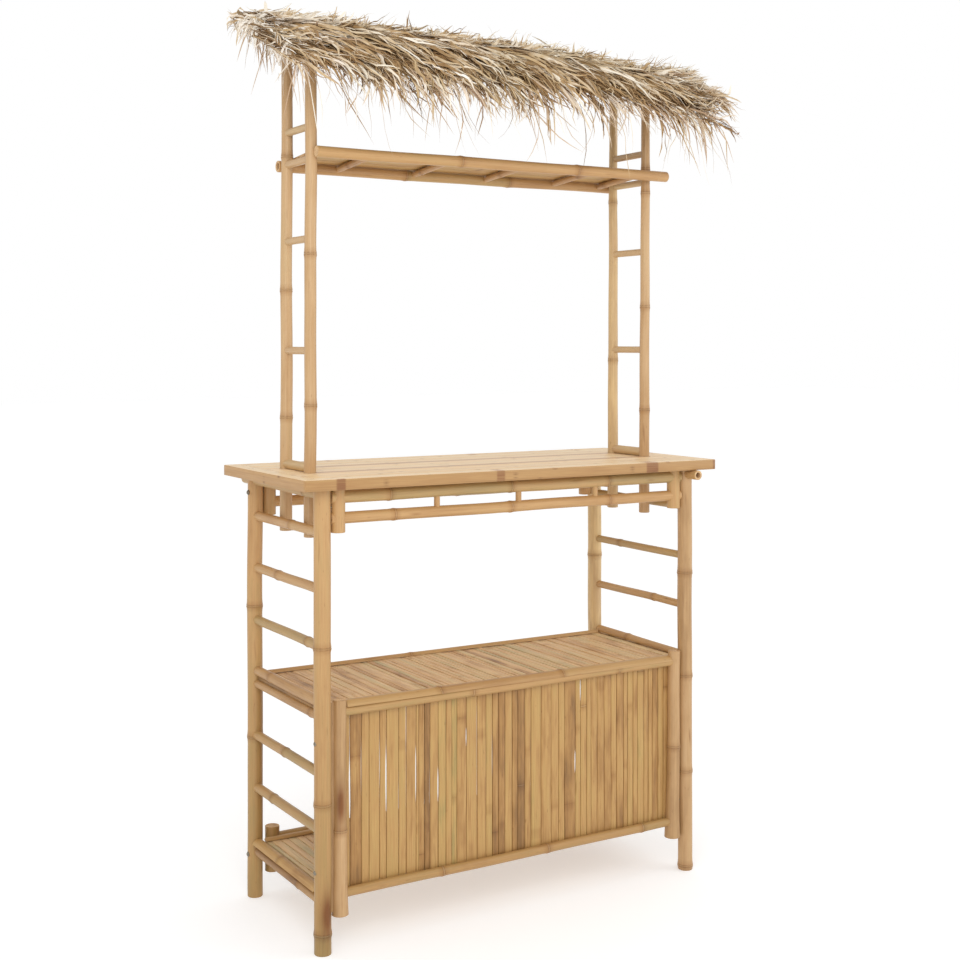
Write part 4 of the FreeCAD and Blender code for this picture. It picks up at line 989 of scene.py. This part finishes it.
# %% Split culms for the borders and trims
def lay_split(piece, start, end, width, rise, knots, tone):
    """Lay a culm, split to a width and a rise, between two points on its flat side, round side up."""
    start, end = Vector(start), Vector(end)
    radius = (width * width / 4 + rise * rise) / (2 * rise)
    part = spin_culm((end - start).length, 2 * radius, knots=knots, sway=0, tone=tone)
    everything = list(part.verts) + list(part.edges) + list(part.faces)
    bmesh.ops.bisect_plane(part, geom=everything, dist=1e-6, plane_co=(0, radius - rise, 0),
                           plane_no=(0, 1, 0), clear_inner=True)
    bmesh.ops.contextual_create(part, geom=[edge for edge in part.edges if edge.is_boundary])
    bmesh.ops.recalc_face_normals(part, faces=part.faces)
    bmesh.ops.translate(part, vec=(0, rise - radius, 0), verts=part.verts)
    direction = (end - start).normalized()
    up = Vector((0, 0, 1))
    turned = Matrix((up.cross(direction), up, direction)).transposed().to_4x4()
    add_part(piece, part, Matrix.Translation(start) @ turned)


# Each pole beside the middle shelf: its front thickness, its taper and its knot
POLES = {"left": (0.0236, 0.96, 0.27), "right": (0.0190, 1.20, 0.22)}
POLE_LIFT = 0.0004
STRIP_WIDTH, STRIP_RISE, STRIP_KNOT = 0.0295, 0.012, 0.21
for side, (diameter, taper, knot) in POLES.items():
    low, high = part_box(f"middle_shelf_{side}_border")
    x = (low.x + high.x) / 2
    piece = bmesh.new()
    add_culm(piece, (x, low.y, low.z + diameter / 2 + POLE_LIFT),
             (x, high.y, low.z + diameter * taper / 2 + POLE_LIFT), diameter, knots=(knot,), taper=taper)
    finish_piece(f"middle_shelf_{side}_pole", piece, f"middle_shelf_{side}_border")
    low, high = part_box(f"bottom_shelf_{side}_border")
    x = (low.x + high.x) / 2
    piece = bmesh.new()
    lay_split(piece, (x, low.y, low.z), (x, high.y, low.z), STRIP_WIDTH, STRIP_RISE, (STRIP_KNOT,), 0.6)
    finish_piece(f"bottom_shelf_{side}_strip", piece, f"bottom_shelf_{side}_border",
                 (split, sawn))

# Each trim: its width, its rise and its knots
TRIMS = {"middle_shelf_front_trim": (0.0390, 0.0125, (0.24, 0.58)),
         "middle_shelf_rear_trim": (0.016, 0.0075, (0.4,)),
         "bottom_shelf_front_trim": (0.036, 0.0088, (0.35,)),
         "bottom_shelf_rear_trim": (0.016, 0.0075, (0.5,))}
FRONT_TRIM = (at(-0.4510, -0.1895, TRIM_LEVEL), at(0.4590, -0.1895, TRIM_LEVEL))
for name, (width, rise, knots) in TRIMS.items():
    low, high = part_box(name)
    y = (low.y + high.y) / 2
    start, end = (low.x, y, low.z), (high.x, y, low.z)
    if name == "middle_shelf_front_trim":
        start, end = FRONT_TRIM
    piece = bmesh.new()
    lay_split(piece, start, end, width, rise, knots, 0.45)
    finish_piece(f"{name}_culm", piece, name, (trim_skin, sawn))

# %% [markdown]
# The counter is planed smooth. Its boards are thin blocks with eased edges, and round holes for the four
# posts are cut with a Boolean, as with a drill. Modelling the holes face by face would be slower and no
# better, because the cut is clean and the boards are flat.

# %% Plane the boards of the counter
def final_mesh(shown, tool):
    """Make a mesh of an object as it is shown, and remove it and the object that shaped it."""
    mesh = bpy.data.meshes.new_from_object(shown.evaluated_get(bpy.context.evaluated_depsgraph_get()))
    bpy.data.objects.remove(shown)
    bpy.data.objects.remove(tool)
    return mesh


BOARD_COUNT = 6
BOARD_GAP = 0.0001
POST_HOLE = 0.0150
HOLE_X = (-0.4808, 0.4748)
low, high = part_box("tabletop_boards")
piece = bmesh.new()
step = (high.y - low.y + BOARD_GAP) / BOARD_COUNT
for index in range(BOARD_COUNT):
    y = low.y + index * step
    add_part(piece, board((low.x, y, low.z), (high.x, y + step - BOARD_GAP, high.z), 0, 0.0003, 0,
                          chances.uniform(0.3, 0.7)))
boards_whole = add_object("boards_whole", to_mesh("boards_whole", piece))

drill = bmesh.new()
for hole_x in HOLE_X:
    for hole_y in (-POST_Y, POST_Y):
        bmesh.ops.create_cone(drill, cap_ends=True, segments=32, radius1=POST_HOLE, radius2=POST_HOLE,
                              depth=0.1, matrix=Matrix.Translation(at(hole_x, hole_y, COUNTER)))
drill_object = add_object("drill", to_mesh("drill", drill))
cutting = boards_whole.modifiers.new("post_holes", "BOOLEAN")
cutting.operation = "DIFFERENCE"
cutting.solver = "EXACT"
cutting.object = drill_object
piece = bmesh.new()
piece.from_mesh(final_mesh(boards_whole, drill_object))
finish_piece("tabletop_board_set", piece, "tabletop_boards", (planed, sawn), sharp=30)

# %% [markdown]
# Four planks with mitred ends frame the boards. A mitre needs slanting ends, so each starts as a flat
# four-cornered face, which is extruded to the counter's thickness. Its dark knots are placed as in the
# photograph, and cross cuts give them points to be stored at.

# %% Mitre the frame of the counter
def extrude(shape, faces, way):
    """Extrude faces by a way, and give the new faces."""
    grown = bmesh.ops.extrude_face_region(shape, geom=faces)["geom"]
    bmesh.ops.translate(shape, vec=way, verts=[item for item in grown if isinstance(item, bmesh.types.BMVert)])
    return [item for item in grown if isinstance(item, bmesh.types.BMFace)]


# The knots of each plank, measured from the middle along it
EDGE_KNOTS = {"front": (-0.484, -0.0735, 0.362, 0.376, 0.573), "rear": (-0.30, 0.12, 0.45), "left": (),
              "right": (0.02, 0.15)}
MITRE = 0.038
for end, axis, sign in (("front", 0, -1), ("rear", 0, 1), ("left", 1, -1), ("right", 1, 1)):
    low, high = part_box(f"tabletop_{end}_edge")
    part = bmesh.new()
    if axis == 0:
        outer, inner = (low.y, high.y) if sign < 0 else (high.y, low.y)
        corners = [(low.x, outer), (high.x, outer), (high.x - MITRE, inner), (low.x + MITRE, inner)]
    else:
        outer, inner = (low.x, high.x) if sign < 0 else (high.x, low.x)
        corners = [(outer, low.y), (outer, high.y), (inner, high.y - MITRE), (inner, low.y + MITRE)]
    bottom = part.faces.new([part.verts.new((x, y, low.z)) for x, y in corners])
    extrude(part, [bottom], (0, 0, high.z - low.z))
    bmesh.ops.recalc_face_normals(part, faces=part.faces)
    ease_edges(part, 0.0012, axis, (high - low)[axis], 90 if axis == 0 else 40)
    for face in part.faces:
        # The sides and undersides take the darker copy, partly their own figure and partly painted shade
        face.material_index = 0 if face.normal.z > 0.7 else 2 if abs(face.normal[axis]) > 0.9 else 1
    grain_along(part, axis, 0.5, [MIDDLE[axis] + knot for knot in EDGE_KNOTS[end]])
    piece = bmesh.new()
    add_part(piece, part)
    finish_piece(f"tabletop_{end}_frame", piece, f"tabletop_{end}_edge",
                 (planed, shaded_front_planed if end == "front" else shaded_edge_planed, sawn), 30)

# %% [markdown]
# The bottle rack is a gently sloping lattice: five dowels between two rails, with four planks on them.
# The planks are made flat, as if the rack were level, and one matrix tilts them, which keeps their grain
# and edges simple.

# %% Build the bottle rack
RACK_REAR, RACK_FRONT = 1.769, 1.784
RACK_RAIL_Y = 0.09755
RACK_ANGLE = math.atan((RACK_REAR - RACK_FRONT) / (2 * RACK_RAIL_Y))
RACK_HEIGHT = (RACK_FRONT + RACK_REAR) / 2
DOWEL_PLACES = (-0.336, -0.127, 0.082, 0.291, 0.437)
DOWEL_THICKNESS = 0.0155
DOWEL_REACH = 0.0905
DOWEL_TOP = 0.0093
PLANKS = 4
PLANK_GAP = 0.002
PLANK_THICKNESS = 0.007
FIELD = 0.0838
dowel_way = Vector((0, math.cos(RACK_ANGLE), math.sin(RACK_ANGLE)))
piece = bmesh.new()
for place in DOWEL_PLACES:
    middle = at(place, 0, RACK_HEIGHT)
    add_culm(piece, middle - dowel_way * DOWEL_REACH, middle + dowel_way * DOWEL_REACH, DOWEL_THICKNESS,
             sway=0.4, knots=(chances.uniform(0.03, 0.15),), tone=0.7)
finish_piece("rack_dowel_culms", piece, "rack_dowels")

low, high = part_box("rack_slats")
plank_width = (2 * FIELD - (PLANKS - 1) * PLANK_GAP) / PLANKS
tilt = Matrix.Translation((0, MIDDLE.y, RACK_HEIGHT)) @ Matrix.Rotation(RACK_ANGLE, 4, "X")
piece = bmesh.new()
for index in range(PLANKS):
    start = index * (plank_width + PLANK_GAP) - FIELD
    tone = chances.uniform(0.2, 0.5)
    knots = [MIDDLE.x + chances.uniform(-0.4, 0.4) for _ in range(3)]
    end = (high.x, start + plank_width, DOWEL_TOP + PLANK_THICKNESS)
    add_part(piece, board((low.x, start, DOWEL_TOP), end, 0, 0.0012, 40, tone, knots, bow=0.0008), tilt)
finish_piece("rack_plank_set", piece, "rack_slats", (split, sawn))

# %% [markdown]
# Two long culms lie on the tops of the posts and carry the roof. They are hardly seen from the front,
# but their sawn, hollow ends show from the sides, so they are grown like every other culm, with both
# ends open.

# %% Lay the roof rails
LEFT_TRIM = 0.03
low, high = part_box("roof_rails")
piece = bmesh.new()
for y, height, knots in ((-POST_Y, 2.000, (0.25, 0.61, 0.98)), (POST_Y, 2.045, (0.12, 0.47, 0.83))):
    add_culm(piece, (low.x + LEFT_TRIM, MIDDLE.y + y, height), (high.x, MIDDLE.y + y, height),
             RAIL_THICKNESS, knots=knots, open_start=True, open_end=True)
finish_piece("roof_rail_culms", piece, "roof_rails")

# %% [markdown]
# Ten bolts pull the aprons, the panel and the stretcher to the legs. A domed head with its washer is a
# turned shape like a culm, so the same spin makes it. The far end stops inside the wood, as a nut that
# is let in does.

# %% Turn the bolts
BOLT_OUTLINE = ((0, -0.0036), (0.0024, -0.0033), (0.0042, -0.0022), (0.0050, -0.0008), (0.0050, -0.0002),
                (0.0064, -0.0002), (0.0064, 0.0010), (0.0030, 0.0010))
NUT_RADIUS = 0.0042
NUT_HEIGHT = 0.004
LEG_RADIUS = 0.0186
# Each pair of bolts: its height, -1 at the front or 1 at the rear, the place and half width of the upright
# that it grips, and how deep its head is sunk
BOLTS = [(0.984, -1, 0.4705, 0.0165, 0.0036), (0.984, 1, 0.4705, 0.0165, 0.0), (0.465, -1, 0.4660, 0.0, 0.0),
         (0.181, -1, 0.4660, 0.0170, 0.0), (0.104, 1, 0.4625, 0.0175, 0.0)]
piece = bmesh.new()
for height, end, upright_x, half, sunk in BOLTS:
    for sign in (-1, 1):
        outside = LEG_X + LEG_RADIUS - sunk
        reach = outside - (upright_x - half) - NUT_HEIGHT
        part = spin_outline([*BOLT_OUTLINE, (0.0030, reach - NUT_HEIGHT), (NUT_RADIUS, reach - NUT_HEIGHT),
                             (NUT_RADIUS, reach), (0, reach)], 16)
        for face in part.faces:
            face.smooth = True
        add_along(piece, part, at(sign * outside, end * LEG_Y, height), (-sign, 0, 0))
finish_piece("bolt_set", piece, "bolts_and_pins", (zinc,))

# %% [markdown]
# The thatch is dried palm leaf. Its finish reads two values from each leaflet: a tone, from dark brown
# to nearly white, and the reach from root to tip, because roots lie deep in the thatch and get a painted
# shade.
# Some leaflets are bleached, and the mat below them is painted dark, as the shade deep in the thatch, so there
# are three leaf materials.

# %% Colour the leaves
def leaf_finish(name, stops, root_shade):
    """Make a leaf material with a painted shade at the root of each leaflet."""
    material, tree, shader = start_material(name, Roughness=0.62, Specular_IOR_Level=0.25)
    mottle = maths(tree, "MULTIPLY", maths(tree, "SUBTRACT", object_noise(tree, 45), 0.5), 0.5)
    base = colour_ramp(tree, maths(tree, "ADD", attribute(tree, "tone"), mottle), stops)
    base = shaded(tree, base, (
        ("dcdfc8", ramp(tree, object_noise(tree, 9, 1), 0.45, 0.62, 0, 0.2), 1),
        # Painted shade: the root of each leaflet darkens by root_shade
        ("8b6f4d", ramp(tree, attribute(tree, "reach"), 0.0, 0.45, root_shade, 0.0), 1)))
    feed(tree, shader.inputs["Base Color"], base)
    return material


leaf = leaf_finish("dry_leaf", [(0.0, "60472b"), (0.2, "8e6e49"), (0.4, "ac8a5f"), (0.6, "c7ac83"),
                                (0.8, "dccab0"), (1.0, "f0e6d5")], 0.9)
pale_leaf = leaf_finish("pale_leaf", [(0.0, "927256"), (0.4, "c2a588"), (0.7, "e0cfb9"),
                                      (1.0, "faf3e9")], 0.12)
# The mat's dark colours are painted shade deep in the thatch
shade_mat_straw = leaf_finish("leaf_mat_shade", [(0.0, "4f3c26"), (0.5, "705639"), (1.0, "927550")], 0.2)
print("leaves:", leaf.name, pale_leaf.name, shade_mat_straw.name)

# %% [markdown]
# Three whole fronds lie along the roof, stalks to the left. Seen from its end, the roof is one outline,
# from the rear edge over the slope, round the eave and down. Leaflets follow it at a small height above
# it. Falling cloth or hair could be simulated, but a drawn outline keeps the straw where the CAD model
# says that the roof is.

# %% Draw the roof's outline
ROOF_ANGLE = math.atan(45 / 140.5)
ROOF_HEIGHT = 2.0225
ALONG = np.array([0.0, math.cos(ROOF_ANGLE), math.sin(ROOF_ANGLE)])
LIFT = np.array([0.0, -math.sin(ROOF_ANGLE), math.cos(ROOF_ANGLE)])
ROOF_MIDDLE = np.array([MIDDLE.x, MIDDLE.y, ROOF_HEIGHT])
OUTLINE = np.array([
    (0.200, 0.036), (0.186, 0.052), (0.120, 0.068), (0.053, 0.078), (-0.010, 0.081),
    (-0.073, 0.080), (-0.110, 0.073), (-0.166, 0.055), (-0.215, 0.036), (-0.254, 0.012),
    (-0.283, -0.020), (-0.300, -0.055), (-0.312, -0.092), (-0.324, -0.130), (-0.336, -0.168)])
OUTLINE_WAY = np.concatenate([[0], np.cumsum(np.hypot(*np.diff(OUTLINE, axis=0).T))])
LEFT_LIMIT = -0.654
LEFT_SLANT = 0.38
FRONT_LIMIT = -0.304
SAG = (0.006, 0.022)


def way_to(along):
    """Give the way along the outline at which it passes a place on the slope."""
    return float(np.interp(-along, -OUTLINE[:, 0], OUTLINE_WAY))


def outline_place(way):
    """Give the two coordinates of the outline at a way along it."""
    return np.interp(way, OUTLINE_WAY, OUTLINE[:, 0]), np.interp(way, OUTLINE_WAY, OUTLINE[:, 1])


def over_outline(way, height):
    """Give a point over the outline, at a way along it and a height square to it."""
    way = np.clip(way, 0, OUTLINE_WAY[-1])
    near = 0.02
    (a, b), (a_next, b_next), (a_last, b_last) = (outline_place(way + off) for off in (0, near, -near))
    da, db = a_next - a_last, b_next - b_last
    size = np.hypot(da, db) + 1e-9
    return a + height * db / size, b - height * da / size


def settle(points):
    """Keep points behind the front and inside the slanting left end, and let the roof sag to the right."""
    left = MIDDLE.x + LEFT_LIMIT + LEFT_SLANT * np.maximum(points[:, 1] - MIDDLE.y, 0)
    points[:, 0] = np.maximum(points[:, 0], left)
    points[:, 1] = np.maximum(points[:, 1], MIDDLE.y + FRONT_LIMIT)
    share = np.clip((points[:, 0] - MIDDLE.x - 0.10) / 0.40, 0, 1)
    points[:, 2] -= SAG[0] + SAG[1] * share ** 1.3
    return points


print("roof outline:", round(OUTLINE_WAY[-1], 3), "m from rear to eave")

# %% [markdown]
# Leaflets fan out from a spine to the right, back over the slope and forward over the eave, where they
# droop into a fringe. Drawn one by one they would look combed, so they grow in tufts: the leaflets of a
# tuft share a root, a turn and a length, and each then differs a little. A few stray in any direction.

# %% Grow tufts of leaflets
LEAF_POINTS = 7
SHARES = np.linspace(0, 1, LEAF_POINTS)
LEFT_END = -0.600
RIGHT_END = 0.655
END_ROOM = 0.07
STRAY_SHARE = 0.07
LOWEST_ROOT = -0.26
dice = np.random.default_rng(11)


def follow_roof(x0, way0, angles, length, heights, back):
    """Run a leaflet over the outline from its root, turning by a list of angles from straight down."""
    step = length / (LEAF_POINTS - 1)
    down = np.concatenate([[0], np.cumsum(np.cos(angles[1:]) * step)])
    right = np.concatenate([[0], np.cumsum(np.sin(angles[1:]) * step)])
    a, b = over_outline(way0 - down if back else way0 + down, heights)
    xs = x0 + right
    over = np.maximum(0, xs - (RIGHT_END - END_ROOM))
    xs = xs - over + END_ROOM * (1 - np.exp(-over / END_ROOM))
    return settle(ROOF_MIDDLE + np.outer(xs, [1, 0, 0]) + np.outer(a, ALONG) + np.outer(b, LIFT))


def lay_tufts(tufts, leaves, along, spread, first, last, length, base, lift, width, left, right, back, tone,
              pale_every):
    """Lay tufts of leaflets; each leaflet is its points, width, tilt, tone and material."""
    made = []
    # Every spread below is in degrees for an angle and in metres for a length or a height
    for _ in range(tufts):
        tuft_x = dice.uniform(left, right)
        tuft_way = way_to(max(dice.normal(along, spread), LOWEST_ROOT))
        tuft_first, tuft_last = dice.normal(first, 9), dice.normal(last, 13)
        tuft_length = length * dice.uniform(0.62, 1.22)
        tuft_base, tuft_lift = dice.normal(base, 0.005), dice.normal(lift, 0.008)
        tuft_tone = dice.normal(tone, 0.10)
        for _ in range(dice.integers(leaves // 2, leaves * 3 // 2)):
            start, end = dice.normal(tuft_first, 13), dice.normal(tuft_last, 20)
            if dice.random() < STRAY_SHARE:
                start, end = dice.normal(20, 45), dice.normal(0, 45)
            bend = dice.normal(0, 12) * np.sin(math.tau * (SHARES * dice.uniform(0.5, 1.1) + dice.random()))
            angles = np.radians(start + (end - start) * SHARES ** 0.8 + bend)
            own_base = tuft_base + dice.normal(0, 0.003)
            own_lift = tuft_lift + dice.normal(0, 0.006)
            heights = own_base + own_lift * SHARES ** 1.4 + dice.normal(0, 0.003, LEAF_POINTS) * SHARES
            points = follow_roof(tuft_x + dice.normal(0, 0.010), tuft_way + dice.normal(0, 0.008), angles,
                                 tuft_length * dice.uniform(0.7, 1.1), heights, back)
            # Leaflets lying lower in the thatch get a darker tone: painted shade
            own_tone = tuft_tone + 9 * (own_base + own_lift - base - lift) + dice.normal(0, 0.15)
            pale = int(pale_every > 0 and len(made) % pale_every == 0)
            made.append((points, width * dice.uniform(0.55, 1.3), dice.normal(0, 0.7), own_tone, pale))
    return made


# %% [markdown]
# At the left end the stalks were cut, and torn strips curl out of the thatch in all directions. They
# don't follow the roof, so each is grown step by step instead: it keeps its course, turns about an axis
# of its own and droops a little more at each step.

# %% Grow the curled strips at the left end
UPWARD = 0.12


def loose_ends(count, x_range, a_range, length, curl, droop, heading, width, tone, material):
    """Lay loose strips at the left end; each is its points, width, tilt, tone and material."""
    made = []
    for _ in range(count):
        a = dice.uniform(*a_range)
        b = np.interp(-a, -OUTLINE[:, 0], OUTLINE[:, 1]) - abs(dice.normal(0, 0.012))
        points = [ROOF_MIDDLE + np.array([dice.uniform(*x_range), 0, 0]) + a * ALONG + b * LIFT]
        course = Vector(heading) + Vector(dice.normal(0, 0.55, 3))
        course.normalize()
        turn = Matrix.Rotation(dice.normal(0, curl) / LEAF_POINTS, 3, Vector(dice.normal(0, 1, 3)))
        step = length * dice.uniform(0.6, 1.3) / (LEAF_POINTS - 1)
        for _ in range(LEAF_POINTS - 1):
            course = turn @ course
            course.z = min(course.z - droop, UPWARD)
            course.normalize()
            points.append(points[-1] + np.array(course) * step)
        made.append((settle(np.array(points)), width * dice.uniform(0.6, 1.3), dice.normal(0, 0.9),
                     dice.normal(tone, 0.22), material))
    return made


# %% [markdown]
# A leaflet is a curve of seven points with a flat, closed cross-section that thins out towards its tip.
# Making each by hand would take a mesh of its own; one curve object bevels thousands at once and is then
# made a mesh. Its faces come out turned inwards, so they are flipped.

# %% Turn leaflets into a mesh
LEAF_SHAPE = np.array([0.50, 0.85, 1.0, 0.95, 0.80, 0.52, 0.06])
SECTION = ((-0.5, -0.06), (0.5, -0.06), (0.0, 0.12))


def leaf_mesh(name, leaves):
    """Bevel all the leaflets with one flat cross-section, and make them a mesh with tone and reach."""
    section = bpy.data.curves.new(f"{name}_section", "CURVE")
    section.dimensions = "2D"
    ring = section.splines.new("POLY")
    ring.points.add(len(SECTION) - 1)
    for point, (x, y) in zip(ring.points, SECTION):
        point.co = (x, y, 0, 1)
    ring.use_cyclic_u = True
    section_object = add_object(f"{name}_section", section)
    curve = bpy.data.curves.new(name, "CURVE")
    curve.dimensions = "3D"
    curve.twist_mode = "Z_UP"
    curve.bevel_mode = "OBJECT"
    curve.bevel_object = section_object
    for points, width, tilt, _, _ in leaves:
        spline = curve.splines.new("POLY")
        spline.points.add(LEAF_POINTS - 1)
        flat = np.concatenate([points, np.ones((LEAF_POINTS, 1))], axis=1)
        spline.points.foreach_set("co", flat.ravel())
        spline.points.foreach_set("radius", width * LEAF_SHAPE)
        spline.points.foreach_set("tilt", tilt + 0.5 * SHARES)
    carrier = add_object(name, curve)
    mesh = final_mesh(carrier, section_object)
    each = len(mesh.vertices) // len(leaves)
    tones = np.repeat([tone for _, _, _, tone, _ in leaves], each)
    reaches = np.tile(np.repeat(SHARES, each // LEAF_POINTS), len(leaves))
    for label, values in (("tone", tones), ("reach", reaches)):
        layer = mesh.attributes.new(label, "FLOAT", "POINT")
        layer.data.foreach_set("value", values.astype(np.float32))
    faces_each = len(mesh.polygons) // len(leaves)
    materials = np.repeat([material for *_, material in leaves], faces_each)
    mesh.polygons.foreach_set("material_index", materials.astype(np.int32))
    mesh.flip_normals()
    print(f"{name}: {len(leaves)} leaflets, {each} points each")
    return mesh


# %% [markdown]
# Leaflets alone would let the sky show through, so a mat lies below each row, painted dark as the shade deep
# in the thatch. Its outline is drawn once as a face and extruded along the roof in short steps, which gives it
# points enough to be uneven.

# %% Lay the mat and join a row
MAT_STEPS = 60
MAT_REACH = 0.3
MAT_UNEVEN = 0.004


def mat_mesh(outline, left, right):
    """Make the dark mat under a row from its outline."""
    part = bmesh.new()
    corner = Vector(ROOF_MIDDLE) + Vector((left, 0, 0))
    first = part.faces.new([part.verts.new(corner + Vector(ALONG * a + LIFT * b)) for a, b in outline])
    current = [first]
    for _ in range(MAT_STEPS):
        ahead = extrude(part, current, ((right - left) / MAT_STEPS, 0, 0))
        if current[0] is not first:
            bmesh.ops.delete(part, geom=current, context="FACES_ONLY")
        current = ahead
    bmesh.ops.recalc_face_normals(part, faces=part.faces)
    tone_layer = part.verts.layers.float.new("tone")
    reach_layer = part.verts.layers.float.new("reach")
    for vert in part.verts:
        vert[tone_layer] = 0.5 + 0.5 * noise.noise(vert.co * 40)
        vert[reach_layer] = MAT_REACH
        vert.co += Vector(LIFT) * MAT_UNEVEN * noise.noise(vert.co * 35)
        vert.co = Vector(settle(np.array([vert.co]))[0])
    for face in part.faces:
        face.material_index = 2
        face.smooth = True
    return part


def finish_row(row, leaves, outline, left, right):
    """Join a row's mat and leaflets into one piece, and close the ends of the leaflets."""
    piece = mat_mesh(outline, left, right)
    piece.from_mesh(leaf_mesh(f"{row}_leaflets", leaves))
    bmesh.ops.holes_fill(piece, edges=[edge for edge in piece.edges if edge.is_boundary], sides=3)
    finish_piece(f"thatch_{row}_fronds", piece, f"thatch_{row}_row",
                 (leaf, pale_leaf, shade_mat_straw), 60)


# %% [markdown]
# The rows are written as a table, from the flat leaflets near a spine to the hanging fringe. The tuning
# was done here: a steeper angle makes the fringe hang, a smaller width makes it finer, and the ranges
# leave the right end thinner, as in the photograph.

# %% Lay the three fronds
# Each line: row, tufts, leaflets in a tuft, place of the roots and its spread, first and last angle, length,
# height at the root and its rise, width, left and right end, whether it runs back, tone, every nth is pale
TUFTS = (
    ("rear", 110, 8, 0.125, 0.020, 60, 40, 0.160, -0.004, 0.008, 0.0075, LEFT_END, 0.60, False, 0.50, 0),
    ("rear", 110, 8, 0.120, 0.020, 66, 50, 0.120, -0.006, 0.004, 0.0072, LEFT_END, 0.60, True, 0.50, 0),
    ("middle", 140, 7, 0.030, 0.020, 60, 40, 0.170, -0.006, 0.006, 0.0078, LEFT_END, 0.60, False, 0.64, 0),
    ("middle", 130, 7, 0.030, 0.020, 64, 50, 0.140, -0.006, 0.008, 0.0070, LEFT_END, 0.60, True, 0.64, 0),
    ("front", 120, 7, -0.085, 0.010, 62, 28, 0.180, -0.003, 0.006, 0.0090, -0.60, 0.58, False, 0.60, 0),
    # This row's dark tone is painted shade on the low part of the slope
    ("front", 100, 8, -0.125, 0.018, 53, 24, 0.150, -0.010, 0.005, 0.0084, -0.60, 0.57, False, 0.34, 0),
    ("front", 66, 8, -0.175, 0.020, 45, 20, 0.125, -0.014, 0.003, 0.0076, -0.56, 0.12, False, 0.38, 0),
    ("front", 28, 8, -0.168, 0.016, 45, 24, 0.100, -0.014, 0.003, 0.0074, 0.08, 0.46, False, 0.44, 0),
    ("front", 56, 7, -0.218, 0.018, 36, 14, 0.120, -0.016, 0.003, 0.0068, -0.50, 0.10, False, 0.60, 2),
    ("front", 28, 6, -0.212, 0.018, 36, 14, 0.115, -0.016, 0.003, 0.0060, 0.08, 0.54, False, 0.60, 2),
    ("front", 140, 7, -0.085, 0.010, 66, 48, 0.140, -0.004, 0.010, 0.0078, -0.60, 0.60, True, 0.70, 0),
    ("front", 110, 2, -0.225, 0.030, 24, 8, 0.190, -0.010, 0.010, 0.0032, -0.54, 0.58, False, 0.50, 2),
    ("front", 26, 6, -0.130, 0.060, 84, 70, 0.150, -0.004, 0.014, 0.0056, 0.50, 0.58, False, 0.66, 2),
    ("middle", 24, 6, 0.020, 0.040, 88, 78, 0.150, -0.004, 0.012, 0.0056, 0.50, 0.58, False, 0.60, 0),
    ("front", 44, 3, -0.050, 0.035, 35, 55, 0.100, 0.002, 0.034, 0.0030, -0.44, 0.60, True, 0.45, 0),
    ("front", 8, 3, 0.020, 0.050, 94, 86, 0.170, 0.006, 0.020, 0.0030, 0.44, 0.54, False, 0.60, 0),
    ("front", 30, 6, -0.150, 0.040, 70, 50, 0.130, -0.008, 0.004, 0.0056, -0.65, -0.58, False, 0.58, 0),
)
# Each line: row, strips, their range along the roof and across it, length, curl, droop, heading, width,
# tone, material
CURLS = (
    ("front", 200, (-0.62, -0.56), (-0.20, 0.04), 0.055, 0.8, 0.20, (0.05, -0.25, -0.2), 0.0054, 1.0, 1),
    ("front", 560, (-0.61, -0.50), (-0.17, 0.03), 0.036, 5.0, 0.02, (0.1, -0.2, -0.05), 0.0046, 1.0, 1),
    ("front", 90, (-0.60, -0.46), (-0.15, 0.02), 0.120, 0.6, 0.08, (0.45, -0.2, -0.75), 0.0036, 0.58, 1),
    ("front", 14, (-0.60, -0.54), (-0.24, -0.17), 0.160, 0.3, 0.10, (0.25, -0.05, -0.9), 0.0030, 0.62, 1),
    ("rear", 120, (-0.60, -0.56), (-0.02, 0.16), 0.050, 0.8, 0.20, (0.0, 0.0, -0.05), 0.0052, 0.90, 0),
    ("rear", 90, (-0.59, -0.48), (0.00, 0.12), 0.110, 0.6, 0.08, (0.45, -0.1, -0.75), 0.0036, 0.55, 1),
)
rows = {"rear": [], "middle": [], "front": []}
for row, *facts in TUFTS:
    rows[row] += lay_tufts(*facts)
for row, *facts in CURLS:
    rows[row] += loose_ends(*facts)
# The mat of each row: its outline, across the slope and square to it, and its ends
MATS = {
    "rear": ([(0.188, 0.033), (0.182, 0.046), (0.055, 0.066), (0.02, 0.066), (0.078, 0.033)],
             -0.54, 0.57),
    "middle": ([(0.075, 0.032), (0.018, 0.067), (-0.07, 0.067), (-0.105, 0.058), (-0.057, 0.032)],
               -0.56, 0.58),
    "front": ([(-0.060, 0.032), (-0.107, 0.057), (-0.160, 0.040), (-0.215, 0.018), (-0.170, 0.032)],
              -0.57, 0.58),
}
for row, mat in MATS.items():
    finish_row(row, rows[row], *mat)
